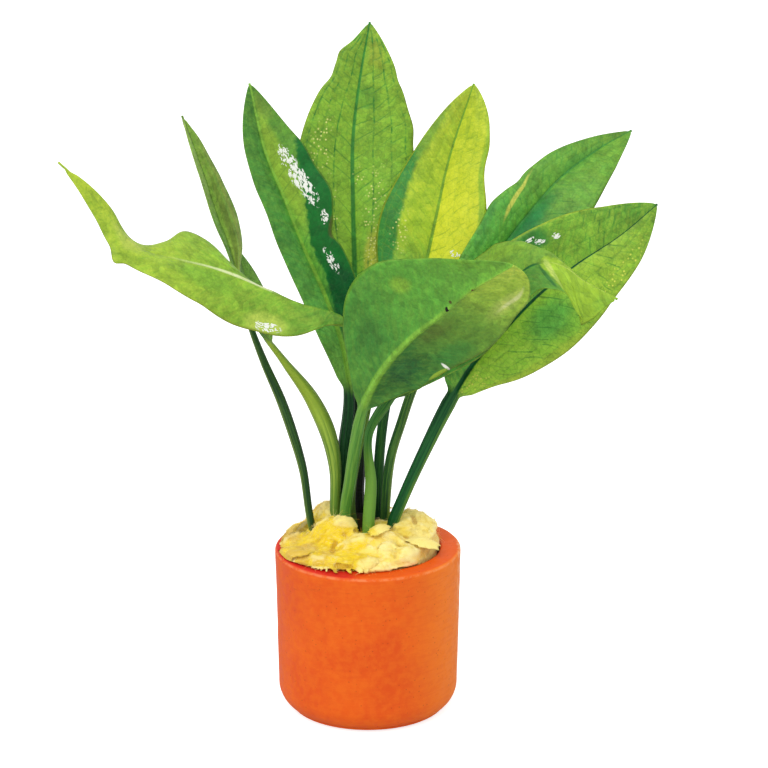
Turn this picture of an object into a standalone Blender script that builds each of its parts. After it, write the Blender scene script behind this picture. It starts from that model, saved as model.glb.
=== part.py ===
# Potted amazon sword plant: ten grown leaves rooted in a wool plug inside a small clay pot.
# The origin is the centre of the pot's flat underside, +Z is up and -Y is the side first seen.
# Every length below is in millimetres and every angle in degrees until MM brings it to metres.

import math

import bmesh
import bpy
from mathutils import Vector

MM = 0.001

# Clay pot
POT_RADIUS = 27.0
POT_HEIGHT = 49.0
POT_FOOT_RADIUS = 26.2
POT_WALL = 6.0
POT_FLOOR = 6.0
POT_BOTTOM_CORNER = 7.0
POT_INNER_CORNER = 3.0
RIM_OUTER_ROUND = 1.3
RIM_INNER_ROUND = 0.8
POT_SIDES = 36

# Wool plug
GAP = 0.35
WOOL_LIP_MIDDLE = 22.4
WOOL_LIP_LEAN = 2.9
WOOL_LIP_WAVE = 0.6
WOOL_EDGE_HEIGHT = 1.7
WOOL_SIDES = 32
WOOL_TOP_RINGS = (0.9, 0.78, 0.66, 0.54, 0.42, 0.30, 0.18)
# Lumps and the hollow between the stalks: x, y, spread, height
WOOL_LUMPS = (
    (0.0, 3.0, 15.0, 6.5),
    (-12.0, 9.0, 6.0, 5.5),
    (-8.0, -1.0, 4.5, 5.0),
    (15.0, 4.0, 5.5, 3.5),
    (5.0, -13.0, 6.0, 1.5),
    (-2.0, -2.0, 3.6, -7.0),
)

# Leaves
STALK_SIDES = 12
BLADE_HALF_THICKNESS = 0.42
MARGIN_HALF_THICKNESS = 0.16
RIB_TOP = 0.55
TIP_RADIUS = 0.35
STALK_BLEND = 1.6

# One entry for each leaf, from its foot in the wool to its tip.
# spine: points along the stalk and midrib; stalk: radius from the foot to where the blade starts
# blade: share of the length at which the blade starts; width: greatest half width
# heading: the way the leaf leans, seen from above, from +X towards +Y
# turn: roll about the midrib; fold: how far the left and right halves rise from flat
# wide: share of the half width, left and right; sweep: how far the halves slide along the midrib
LEAVES = {
    "leaf_left_arching": dict(
        heading=185, blade=0.42, width=13.5, widest=0.35, base=0.8, taper=1.1, stations=34,
        stalk=(1.5, 1.5, 1.3), colour=(0.40, 0.56, 0.06),
        fold=((-35, -50), (-42, -55), (-52, -55), (-57, -40), (-46, 14), (-32, 22), (-22, 20),
              (-34, 0), (-58, 35), (-60, 50), (-60, 50)),
        wide=((0.5, 1), (0.65, 1), (1, 1), (1.03, 0.7), (1.12, 0.5), (1.12, 1.2), (1.08, 0.68),
              (0.95, 0.4), (0.72, 0.5), (0.85, 0.55), (1, 0.6)),
        sweep=((0, 0), (0, 0), (0, 0), (0, 0), (0, 0.1), (0, 0.25), (0, 0.15), (0, 0), (0, 0),
               (0, 0), (0, 0)),
        spine=((-2, 4, 43), (-5, 4, 61), (-3, 3, 77), (0, 0, 93), (0.5, -2, 103), (-1.5, -3, 114),
               (-7.5, -4, 119.5), (-19, -5, 123.5), (-29.5, -6, 128.5), (-42.5, -7, 134),
               (-55, -8, 137.5), (-63, -8, 140), (-69, -9, 146), (-73, -9, 151.5),
               (-78.5, -9, 158.5), (-85.5, -8, 165)),
    ),
    "leaf_left_narrow": dict(
        heading=165, blade=0.5, width=9.5, widest=0.45, base=1.0, taper=1.0, stations=26,
        stalk=(1.1, 1.2, 1.5, 1.0), colour=(0.16, 0.25, 0.06),
        fold=((4, 5), (4, 18), (4, 22)),
        wide=((0.3, 0.25), (0.25, 0.2), (0.2, 0.15), (0.2, 0.3), (0.35, 0.72), (0.45, 0.95),
              (0.5, 1), (0.55, 1), (0.7, 1.05), (0.85, 1.25), (0.9, 1.3)),
        spine=((-13.5, 0.5, 44), (-16.5, 0.5, 56), (-19, 3, 72.5), (-21.5, 5, 81), (-25, 8, 90.5),
               (-30, 11, 101.5), (-33.5, 14, 110), (-37, 17, 121), (-40, 20, 132.5),
               (-43.5, 22, 141.5), (-47.5, 25, 153.5), (-53.5, 29, 170)),
    ),
    "leaf_left_short": dict(
        heading=160, blade=0.62, width=6.5, widest=0.45, base=1.0, taper=0.85, stations=24,
        stalk=(1.7, 1.6, 2.4, 1.1), colour=(0.22, 0.34, 0.05),
        fold=((5, 25),),
        wide=((0.2, 0.2), (0.5, 0.5), (1, 1), (1, 1), (1, 1)),
        spine=((-9, 3, 43), (-9.5, 3.5, 60), (-9.5, 4, 72), (-11, 5, 80), (-16, 9, 90.5),
               (-24.5, 15, 100.5), (-30, 22, 106), (-33, 28, 111.5), (-35.2, 32, 117),
               (-37, 35, 122.5), (-39.5, 38, 129)),
    ),
    "leaf_left_broad": dict(
        heading=122, blade=0.31, width=16.5, widest=0.47, base=1.0, taper=0.85, stations=26,
        stalk=(1.8, 1.9, 1.7), colour=(0.08, 0.24, 0.05), turn=(-10,),
        fold=((10, 15), (14, 22), (16, 30), (16, 34), (16, 30), (12, 22), (8, 15)),
        wide=((0.66, 0.8), (0.65, 0.81), (0.53, 0.7), (0.49, 0.66), (0.54, 0.86), (0.7, 1.05),
              (0.9, 1.05)),
        spine=((-6.5, 7.5, 43), (-7.5, 8, 63), (-7, 8.5, 75.5), (-5.5, 10, 90), (-7, 12, 104),
               (-11.5, 15, 117.5), (-18.8, 19, 134), (-24.3, 22, 147.5), (-29.8, 25, 161),
               (-34, 29, 179.5)),
    ),
    "leaf_back_tall": dict(
        heading=95, blade=0.42, width=17.5, widest=0.45, base=1.0, taper=0.9, stations=26,
        stalk=(2.2, 2.1, 1.7), colour=(0.25, 0.44, 0.06),
        fold=((10, 10),),
        wide=((1, 1), (1, 1), (1, 1.06), (1, 1.24), (1, 1.6)),
        spine=((-1.9, 9, 43), (-3.3, 11, 59), (-2.6, 13, 77), (-3.5, 21, 96), (-4, 32, 123),
               (-4.5, 39, 142.5), (-4.5, 44, 159.5), (-2.5, 48, 176.5), (0.5, 52, 193)),
    ),
    "leaf_back_yellow": dict(
        heading=70, blade=0.43, width=16.5, widest=0.45, base=1.0, taper=0.85, stations=26,
        stalk=(1.6, 1.5, 1.4), colour=(0.50, 0.58, 0.06),
        fold=((12, 12),),
        wide=((1, 1), (1, 1.02), (0.98, 1.03), (0.84, 1.03), (0.95, 1.9)),
        spine=((2.5, 8, 43), (3, 9, 58), (3.5, 10, 75), (6, 13, 92), (11.5, 19, 110),
               (16.5, 25, 125.5), (20, 29, 140.5), (23.2, 33, 154.5), (30.8, 38, 177.5)),
    ),
    "leaf_right_upper": dict(
        heading=40, blade=0.42, width=16.0, widest=0.45, base=1.0, taper=0.85, stations=26,
        stalk=(1.5, 1.4, 1.4), colour=(0.10, 0.32, 0.06), turn=(25,),
        fold=((20, 0), (32, 0), (36, 0), (32, 0), (24, 0), (12, 0)),
        wide=((0.75, 0.87), (0.64, 0.94), (0.59, 1.02), (0.64, 1.09), (0.66, 1.22), (0.66, 1.29)),
        spine=((4.5, 3.5, 43), (5, 4, 59.5), (7, 5, 76), (9.5, 6, 84), (13.5, 8, 95.5),
               (19.5, 10, 106.5), (28, 13, 119.5), (38, 17, 133), (46, 21, 142.5),
               (55.5, 25, 152.5), (67, 30, 160), (76.5, 34, 164.5)),
    ),
    "leaf_right_lower": dict(
        heading=15, blade=0.39, width=17.5, widest=0.45, base=0.9, taper=0.85, stations=26,
        stalk=(1.7, 1.7, 2.1), colour=(0.24, 0.44, 0.06), turn=(75,),
        fold=((5, 5),),
        wide=((1, 1.05), (1, 0.99), (1, 1.01), (1.05, 1.03), (1.3, 1.1)),
        spine=((6, -1.5, 43), (7.5, 0, 56.5), (10, 0, 63), (16.5, -1, 78.5), (25, -1, 96),
               (30, 0, 104), (37.5, 1, 112.5), (50, 3, 125), (58.5, 5, 131.5), (72, 8, 140),
               (82.5, 12, 148)),
    ),
    "leaf_front_right": dict(
        heading=345, blade=0.36, width=15.0, widest=0.45, base=1.0, taper=0.85, stations=34,
        stalk=(1.75, 1.75, 1.7, 1.2, 1.6), colour=(0.18, 0.38, 0.06),
        turn=(70, 70, 68, 62, 45, 28, 18, 15, 10),
        fold=((10, 0), (10, 0), (10, 0), (10, 0), (10, 0), (10, 0), (10, 0), (15, -5), (25, -15),
              (20, -35), (-20, -50), (-30, -55), (-25, -50)),
        wide=((0.6, 0.9), (0.8, 0.85), (0.9, 0.8), (1, 0.75), (1, 0.75), (0.95, 0.8), (0.95, 0.85),
              (1.05, 0.85), (1, 0.8), (0.45, 1), (0.25, 1.35), (0.4, 1), (1, 0.8)),
        sweep=((0, 0), (0, 0), (0, 0), (0, 0), (0, 0), (0, 0), (-0.1, 0), (-0.15, 0.1),
               (-0.2, 0.4), (-0.3, 0.75), (-0.3, 1.1), (0, 1.2), (0, 1)),
        spine=((0.5, -5, 43), (-0.5, -4.5, 54.5), (0.5, -3.5, 68.5), (0.5, -3, 85), (6, -5, 95),
               (12, -7.5, 104.5), (23, -11, 116), (33.5, -15, 126.5), (41, -18, 134.5),
               (45.5, -20, 138.5), (50, -22, 140), (54.5, -24, 139), (59, -26, 136),
               (64, -27.5, 133.5), (68.5, -29, 131.5)),
    ),
    "leaf_front_broad": dict(
        heading=285, blade=0.38, width=19.0, widest=0.4, base=0.8, taper=0.6, stations=28,
        stalk=(1.7, 1.7, 1.7), colour=(0.10, 0.30, 0.06), turn=(-35, -35, -35, -35, -30),
        fold=((8, 8),),
        wide=((0.15, 0.15), (0.58, 0.66), (0.74, 1.13), (0.98, 1.24), (1.13, 0.93), (1.45, 0.65)),
        sweep=((0, 0), (0, 0), (0, 0), (0, 0), (0.2, 0), (0.4, 0)),
        spine=((-6.3, -1, 43), (-6.4, -1, 61), (-5.2, -4, 69.5), (-3.5, -9, 83), (-0.9, -13, 96),
               (4, -18, 107.5), (11.5, -23, 118), (21, -30, 128), (28, -36, 136),
               (33.5, -41, 141), (39, -45, 145.5)),
    ),
}

# Colour, roughness
POT_LOOK = ((0.80, 0.15, 0.02), 0.55)
WOOL_LOOK = ((0.90, 0.72, 0.20), 0.95)
LEAF_ROUGHNESS = 0.35


def clear_scene():
    for item in list(bpy.data.objects):
        bpy.data.objects.remove(item, do_unlink=True)


def make_material(name, colour, roughness):
    material = bpy.data.materials.new(name)
    material.use_nodes = True
    shader = material.node_tree.nodes["Principled BSDF"]
    shader.inputs["Base Color"].default_value = (*colour, 1.0)
    shader.inputs["Roughness"].default_value = roughness
    return material


def add_object(name, shape, material=None):
    bmesh.ops.scale(shape, vec=(MM, MM, MM), verts=shape.verts)
    bmesh.ops.recalc_face_normals(shape, faces=shape.faces)
    mesh = bpy.data.meshes.new(name)
    shape.to_mesh(mesh)
    shape.free()
    mesh.shade_smooth()
    mesh.set_sharp_from_angle(angle=math.radians(40))
    item = bpy.data.objects.new(name, mesh)
    bpy.context.scene.collection.objects.link(item)
    if material:
        mesh.materials.append(material)
    return item


# A value at a share, 0 to 1, of the way along a smooth run through the given values
def along(values, share, even=True):
    points = [Vector(v) if isinstance(v, tuple) else Vector((v, v)) for v in values]
    if len(points) == 1:
        return points[0]
    steps = [1.0 if even else (b - a).length for a, b in zip(points, points[1:])]
    left = max(0.0, min(1.0, share)) * sum(steps)
    index = 0
    while index < len(steps) - 1 and left > steps[index]:
        left -= steps[index]
        index += 1

    def slope(k):
        before = (points[k] - points[k - 1]) / steps[k - 1] if k else None
        after = (points[k + 1] - points[k]) / steps[k] if k < len(steps) else None
        if before is None or after is None:
            return before or after
        a, b = steps[k - 1], steps[k]
        return (before * b + after * a) / (a + b)

    step = steps[index]
    f = left / step
    return (points[index] * (2 * f**3 - 3 * f**2 + 1)
            + slope(index) * (step * (f**3 - 2 * f**2 + f))
            + points[index + 1] * (3 * f**2 - 2 * f**3)
            + slope(index + 1) * (step * (f**3 - f**2)))


# Share of the greatest half width, at a share of the blade's length
def blade_outline(leaf, share):
    if share <= 0.0 or share >= 1.0:
        return 0.0
    if share < leaf["widest"]:
        return math.sin(math.pi / 2 * share / leaf["widest"]) ** leaf["base"]
    return math.sin(math.pi / 2 * (1 - share) / (1 - leaf["widest"])) ** leaf["taper"]


# Where a leaf is at a share of its length: its centre, its directions and its sizes there
def leaf_station(leaf, share):
    step = 0.004
    centre = along(leaf["spine"], share, even=False)
    tangent = (along(leaf["spine"], share + step, even=False)
               - along(leaf["spine"], share - step, even=False)).normalized()
    heading = math.radians(leaf["heading"])
    flat_left = Vector((-math.sin(heading), math.cos(heading), 0.0))
    flat_left = (flat_left - tangent * flat_left.dot(tangent)).normalized()
    flat_up = tangent.cross(flat_left)
    blade = max(0.0, min(1.0, (share - leaf["blade"]) / (1 - leaf["blade"])))
    turn = math.radians(along(leaf.get("turn", (0,)), blade)[0])
    width = leaf["width"] * blade_outline(leaf, blade)
    if share < leaf["blade"]:
        radius = along(leaf["stalk"], share / leaf["blade"])[0]
    else:
        radius = leaf["stalk"][-1] + (TIP_RADIUS - leaf["stalk"][-1]) * blade**0.7
    return dict(
        centre=centre,
        tangent=tangent,
        left=flat_left * math.cos(turn) + flat_up * math.sin(turn),
        up=flat_up * math.cos(turn) - flat_left * math.sin(turn),
        radius=radius,
        widths=[width * w for w in along(leaf.get("wide", (1,)), blade)],
        folds=[math.radians(f) for f in along(leaf["fold"], blade)],
        sweeps=along(leaf.get("sweep", (0,)), blade),
    )


# A closed ring round the leaf: a round stalk that opens into a thin blade with a rib beneath it
def leaf_ring(station, extra=0.0):
    radius = station["radius"] + extra
    ring = []
    for corner in range(STALK_SIDES):
        angle = 2 * math.pi * corner / STALK_SIDES
        across, height = math.cos(angle), math.sin(angle)
        half = 0 if across >= 0 else 1
        side = 1 if half == 0 else -1
        width = station["widths"][half]
        fold = station["folds"][half]
        foot = radius + BLADE_HALF_THICKNESS
        reach = abs(across)
        if reach > 0.95:
            distance, thickness = width, MARGIN_HALF_THICKNESS * height
        elif reach > 0.7:
            distance, thickness = 0.5 * (width + foot), BLADE_HALF_THICKNESS
        elif reach > 0.2:
            distance, thickness = foot, BLADE_HALF_THICKNESS
        else:
            distance, thickness = 0.0, RIB_TOP if height > 0 else radius
        opened = max(0.0, min(1.0, (width - radius) / (STALK_BLEND * radius)))
        opened *= opened * (3 - 2 * opened)
        outward = station["left"] * (side * math.cos(fold)) + station["up"] * math.sin(fold)
        normal = station["up"] * math.cos(fold) - station["left"] * (side * math.sin(fold))
        if reach <= 0.2:
            normal = station["up"]
        blade = (outward * distance
                 + normal * math.copysign(thickness, height)
                 + station["tangent"] * (station["sweeps"][half] * distance))
        stalk = station["left"] * (radius * across) + station["up"] * (radius * height)
        ring.append(station["centre"] + stalk.lerp(blade, opened))
    return ring


# A closed tube drawn from ring to ring by extruding its open edge
def ringed_body(rings):
    shape = bmesh.new()
    first = [shape.verts.new(p) for p in rings[0]]
    shape.faces.new(first)
    edges = [shape.edges.get((a, b)) for a, b in zip(first, first[1:] + first[:1])]
    order = first
    for ring in rings[1:]:
        drawn = bmesh.ops.extrude_edge_only(shape, edges=edges)["geom"]
        edges = [g for g in drawn if isinstance(g, bmesh.types.BMEdge)
                 and all(v not in order for v in g.verts)]
        fresh = [v for v in drawn if isinstance(v, bmesh.types.BMVert)]
        order = [next(e.other_vert(v) for e in v.link_edges if e.other_vert(v) in fresh)
                 for v in order]
        for vert, point in zip(order, ring):
            vert.co = point
    shape.faces.new(order)
    return shape


def build_leaf(name, leaf):
    stations = leaf["stations"]
    rings = [leaf_ring(leaf_station(leaf, i / stations)) for i in range(stations + 1)]
    return add_object(name, ringed_body(rings),
                      make_material(name, leaf["colour"], LEAF_ROUGHNESS))


def arc(centre_r, centre_z, radius, start, stop, steps):
    points = []
    for i in range(steps + 1):
        angle = math.radians(start + (stop - start) * i / steps)
        points.append((centre_r + radius * math.cos(angle), centre_z + radius * math.sin(angle)))
    return points


def build_pot():
    inner = POT_RADIUS - POT_WALL
    foot = POT_FOOT_RADIUS - POT_BOTTOM_CORNER
    floor_flat = inner - POT_INNER_CORNER
    profile = [(0.0, 0.0)]
    profile += arc(foot, POT_BOTTOM_CORNER, POT_BOTTOM_CORNER, -90, 0, 6)
    profile += arc(POT_RADIUS - RIM_OUTER_ROUND, POT_HEIGHT - RIM_OUTER_ROUND,
                   RIM_OUTER_ROUND, 0, 90, 3)
    profile += arc(inner + RIM_INNER_ROUND, POT_HEIGHT - RIM_INNER_ROUND,
                   RIM_INNER_ROUND, 90, 180, 2)
    profile += arc(floor_flat, POT_FLOOR + POT_INNER_CORNER, POT_INNER_CORNER, 0, -90, 3)
    profile += [(0.0, POT_FLOOR)]
    shape = bmesh.new()
    verts = [shape.verts.new((r, 0.0, z)) for r, z in profile]
    edges = [shape.edges.new(pair) for pair in zip(verts, verts[1:])]
    bmesh.ops.spin(shape, geom=verts + edges, cent=(0, 0, 0), axis=(0, 0, 1),
                   angle=2 * math.pi, steps=POT_SIDES, use_merge=True)
    bmesh.ops.remove_doubles(shape, verts=shape.verts, dist=0.001)
    return add_object("pot", shape, make_material("fired_clay", *POT_LOOK))


def wool_height(x, y):
    height = POT_HEIGHT + WOOL_EDGE_HEIGHT
    for lump_x, lump_y, spread, rise in WOOL_LUMPS:
        away = ((x - lump_x) ** 2 + (y - lump_y) ** 2) / spread**2
        height += rise * math.exp(-away)
    return height


# The outline of the wool on the rim: it hangs over on the left and stays inside on the right
def wool_lip(angle):
    return (WOOL_LIP_MIDDLE - WOOL_LIP_LEAN * math.cos(angle)
            + WOOL_LIP_WAVE * math.sin(5 * angle + 1))


def wool_body():
    inside = POT_RADIUS - POT_WALL - GAP
    corner = POT_INNER_CORNER
    shape = bmesh.new()
    rings = []
    for i in range(WOOL_SIDES):
        angle = 2 * math.pi * i / WOOL_SIDES
        lip = wool_lip(angle)
        top = POT_HEIGHT + GAP
        profile = [(inside - corner, POT_FLOOR + GAP), (inside, POT_FLOOR + corner + GAP)]
        profile += [(min(inside, lip), top), (lip, top + 0.1), (lip + 0.4, top + 0.8)]
        points = [(r * math.cos(angle), r * math.sin(angle), z) for r, z in profile]
        for share in WOOL_TOP_RINGS:
            x, y = lip * share * math.cos(angle), lip * share * math.sin(angle)
            points.append((x, y, wool_height(x, y)))
        rings.append([shape.verts.new(p) for p in points])
    low = shape.verts.new((0, 0, POT_FLOOR + GAP))
    high = shape.verts.new((0, 0, wool_height(0, 0)))
    for here, there in zip(rings, rings[1:] + rings[:1]):
        shape.faces.new((low, there[0], here[0]))
        for k in range(len(here) - 1):
            shape.faces.new((here[k], there[k], there[k + 1], here[k + 1]))
        shape.faces.new((here[-1], there[-1], high))
    bmesh.ops.triangulate(shape, faces=shape.faces)
    return shape


# A pocket in the wool for a stalk: the stalk's own foot, a little fatter and a little deeper
def stalk_pocket(name, leaf, reach):
    share = leaf["blade"] * reach
    stations = [leaf_station(leaf, share * i / 4) for i in range(5)]
    stations[0]["centre"] = stations[0]["centre"] - stations[0]["tangent"] * GAP
    cutter = add_object(name, ringed_body([leaf_ring(s, GAP) for s in stations]))
    cutter.display_type = "WIRE"
    cutter.hide_render = True
    return cutter


def build_wool():
    wool = add_object("wool_plug", wool_body(), make_material("wool", *WOOL_LOOK))
    for name, leaf in LEAVES.items():
        cut = wool.modifiers.new("pocket", "BOOLEAN")
        cut.object = stalk_pocket("pocket_" + name, leaf, 0.5)
        cut.operation = "DIFFERENCE"
        cut.solver = "EXACT"
    return wool


clear_scene()
build_pot()
build_wool()
for leaf_name, leaf_data in LEAVES.items():
    build_leaf(leaf_name, leaf_data)
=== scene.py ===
import math
import random

import bmesh
import bpy
from mathutils import Matrix, Vector, noise


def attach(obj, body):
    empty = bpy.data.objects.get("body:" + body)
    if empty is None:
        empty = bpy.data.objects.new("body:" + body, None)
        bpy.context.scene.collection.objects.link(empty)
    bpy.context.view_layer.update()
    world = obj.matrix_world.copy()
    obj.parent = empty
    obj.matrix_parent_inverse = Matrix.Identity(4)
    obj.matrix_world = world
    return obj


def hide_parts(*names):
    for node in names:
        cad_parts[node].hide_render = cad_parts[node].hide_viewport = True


# Young sword plant in yellow wool and a small clay pot.
# All lengths are in millimetres unless a name says otherwise; colours are screen values, 0 to 255.

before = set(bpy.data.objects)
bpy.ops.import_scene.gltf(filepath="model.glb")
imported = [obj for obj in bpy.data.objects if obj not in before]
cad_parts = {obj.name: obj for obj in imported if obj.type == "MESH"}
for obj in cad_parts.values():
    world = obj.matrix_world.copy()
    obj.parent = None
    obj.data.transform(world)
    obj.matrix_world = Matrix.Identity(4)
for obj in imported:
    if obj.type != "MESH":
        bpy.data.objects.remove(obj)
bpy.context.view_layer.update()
mm = 0.001
noise.seed_set(4)                                                       # the same wool on every run
print("frame loaded:", len(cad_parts), "nodes")


# Small helpers for nodes and objects

def screenColour(red, green, blue):
    linear = [(v / 255 / 12.92) if v < 10.3 else ((v / 255 + 0.055) / 1.055) ** 2.4
              for v in (red, green, blue)]
    return (*linear, 1.0)


def addNode(tree, kind, inputs=None, **settings):
    node = tree.nodes.new("ShaderNode" + kind)
    for name, value in settings.items():
        setattr(node, name, value)
    for name, value in (inputs or {}).items():
        if isinstance(value, bpy.types.NodeSocket):
            tree.links.new(value, node.inputs[name])
        elif value is not None:
            node.inputs[name].default_value = value
    return node


def calc(tree, operation, a, b=None, c=None):
    return addNode(tree, "Math", {0: a, 1: b, 2: c}, operation=operation).outputs[0]


def vectorCalc(tree, operation, a, b=None, scale=None):
    inputs = {0: a, 1: b}
    if scale is not None:
        inputs = {0: a, "Scale": scale}
    return addNode(tree, "VectorMath", inputs, operation=operation).outputs[0]


# 0 on the low side, 1 on the high side, smooth between; low may be the larger one
def ease(tree, value, low, high):
    node = addNode(tree, "MapRange", {"Value": value, "From Min": low, "From Max": high},
                   interpolation_type="SMOOTHSTEP")
    return node.outputs["Result"]


def mixColour(tree, share, first, second, blend="MIX"):
    node = addNode(tree, "Mix", {0: share, 6: first, 7: second}, data_type="RGBA", blend_type=blend)
    return node.outputs[2]


def splitVector(tree, vector):
    return addNode(tree, "SeparateXYZ", {0: vector}).outputs


def joinVector(tree, x, y, z):
    return addNode(tree, "CombineXYZ", {0: x, 1: y, 2: z}).outputs[0]


def addNoise(tree, vector, scale, detail=2.0, roughness=0.5, distortion=0.0):
    node = addNode(tree, "TexNoise", {"Vector": vector, "Scale": scale, "Detail": detail,
                                      "Roughness": roughness, "Distortion": distortion})
    return node.outputs["Fac"]


def addRamp(tree, share, stops):
    node = addNode(tree, "ValToRGB", {0: share})
    band = node.color_ramp
    band.interpolation = "EASE"
    while len(band.elements) < len(stops):
        band.elements.new(0.5)
    for element, (place, colour) in zip(band.elements, stops):
        element.position = place
        element.color = screenColour(*colour)
    return node.outputs["Color"]


# sockets: name, kind (Float, Vector or Color), starting value
def makeGroup(name, ins, outs):
    group = bpy.data.node_groups.new(name, "ShaderNodeTree")
    for label, kind, start in ins:
        socket = group.interface.new_socket(label, in_out="INPUT", socket_type="NodeSocket" + kind)
        socket.default_value = start
    for label, kind in outs:
        group.interface.new_socket(label, in_out="OUTPUT", socket_type="NodeSocket" + kind)
    given = group.nodes.new("NodeGroupInput").outputs
    made = group.nodes.new("NodeGroupOutput").inputs
    return group, given, made


def useGroup(tree, group, inputs):
    node = tree.nodes.new("ShaderNodeGroup")
    node.node_tree = group
    for name, value in inputs.items():
        if isinstance(value, bpy.types.NodeSocket):
            tree.links.new(value, node.inputs[name])
        else:
            node.inputs[name].default_value = value
    return node.outputs


def newMaterial(name):
    material = bpy.data.materials.new(name)
    material.use_nodes = True
    return material, material.node_tree, material.node_tree.nodes["Principled BSDF"]


# Object coordinates in millimetres
def placeInMm(tree):
    place = addNode(tree, "TexCoord").outputs["Object"]
    return vectorCalc(tree, "SCALE", place, scale=1 / mm)


def deselectAll():
    if bpy.context.mode != "OBJECT":
        bpy.ops.object.mode_set(mode="OBJECT")
    bpy.ops.object.select_all(action="DESELECT")


def selectOnly(obj):
    deselectAll()
    obj.select_set(True)
    bpy.context.view_layer.objects.active = obj


def finishPiece(obj, name, material, node):
    obj.name = name
    obj.data.name = name
    obj.data.materials.clear()
    obj.data.materials.append(material)
    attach(obj, "root")
    if node:
        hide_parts(node)
    print(name, len(obj.data.polygons), "faces")


def setAttribute(mesh, name, values):
    layer = mesh.attributes.new(name, "FLOAT_VECTOR", "POINT")
    layer.data.foreach_set("vector", [part for value in values for part in value])


# Surface effects that several materials share

# Broad and fine blotches; the broad ones have bent edges
def buildBlotches():
    group, given, made = makeGroup(
        "blotches",
        [("Place", "Vector", (0, 0, 0)), ("Broad Size", "Float", 10.0), ("Fine Size", "Float", 1.5)],
        [("Broad", "Float"), ("Fine", "Float"), ("Grain", "Float")])
    broad = addNoise(group, given["Place"], calc(group, "DIVIDE", 1.0, given["Broad Size"]), 2.5, 0.55, 0.6)
    fine = addNoise(group, given["Place"], calc(group, "DIVIDE", 1.0, given["Fine Size"]), 3.0, 0.6)
    grain = addNoise(group, given["Place"], 3.2, 2.0, 0.6)
    group.links.new(ease(group, broad, 0.36, 0.64), made["Broad"])
    group.links.new(ease(group, fine, 0.35, 0.65), made["Fine"])
    group.links.new(grain, made["Grain"])
    return group


blotches = buildBlotches()


# Pot

pot = {
    "sides": 168,
    "radius": 27.0, "footRadius": 26.2, "height": 49.0, "wall": 6.0, "floor": 6.0,
    "footCorner": 7.0, "innerCorner": 3.0, "rimOuter": 1.3, "rimInner": 0.8,
    "unevenness": 0.16,
    # dents: angle round the pot from +X in degrees, height, size, depth
    "dents": [(-62, 47.6, 1.1, 0.35), (-124, 48.3, 0.9, 0.3), (-20, 46.8, 1.4, 0.4), (-97, 11.5, 0.9, 0.25),
              (40, 48.0, 1.3, 0.35), (150, 47.2, 1.0, 0.3), (-63.5, 32.5, 0.9, 0.25)],
    "orange": (230, 94, 14), "red": (216, 72, 14), "light": (240, 122, 30), "worn": (246, 176, 124),
    "dark": (150, 50, 18), "inside": (196, 58, 16), "damp": (214, 40, 26), "rim": (228, 84, 6),
    "sunny": (248, 140, 32),
}


def selectEdges(mesh, wanted):
    bpy.ops.mesh.select_mode(type="EDGE")
    bpy.ops.mesh.select_all(action="DESELECT")
    shape = bmesh.from_edit_mesh(mesh)
    for edge in shape.edges:
        edge.select_set(wanted(edge))
    bmesh.update_edit_mesh(mesh)


# All edges of the circle at this radius and height
def onCircle(radius, height):
    def wanted(edge):
        return all(abs(v.co.xy.length - radius * mm) < 0.3 * mm and abs(v.co.z - height * mm) < 0.1 * mm
                   for v in edge.verts)
    return wanted


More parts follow.
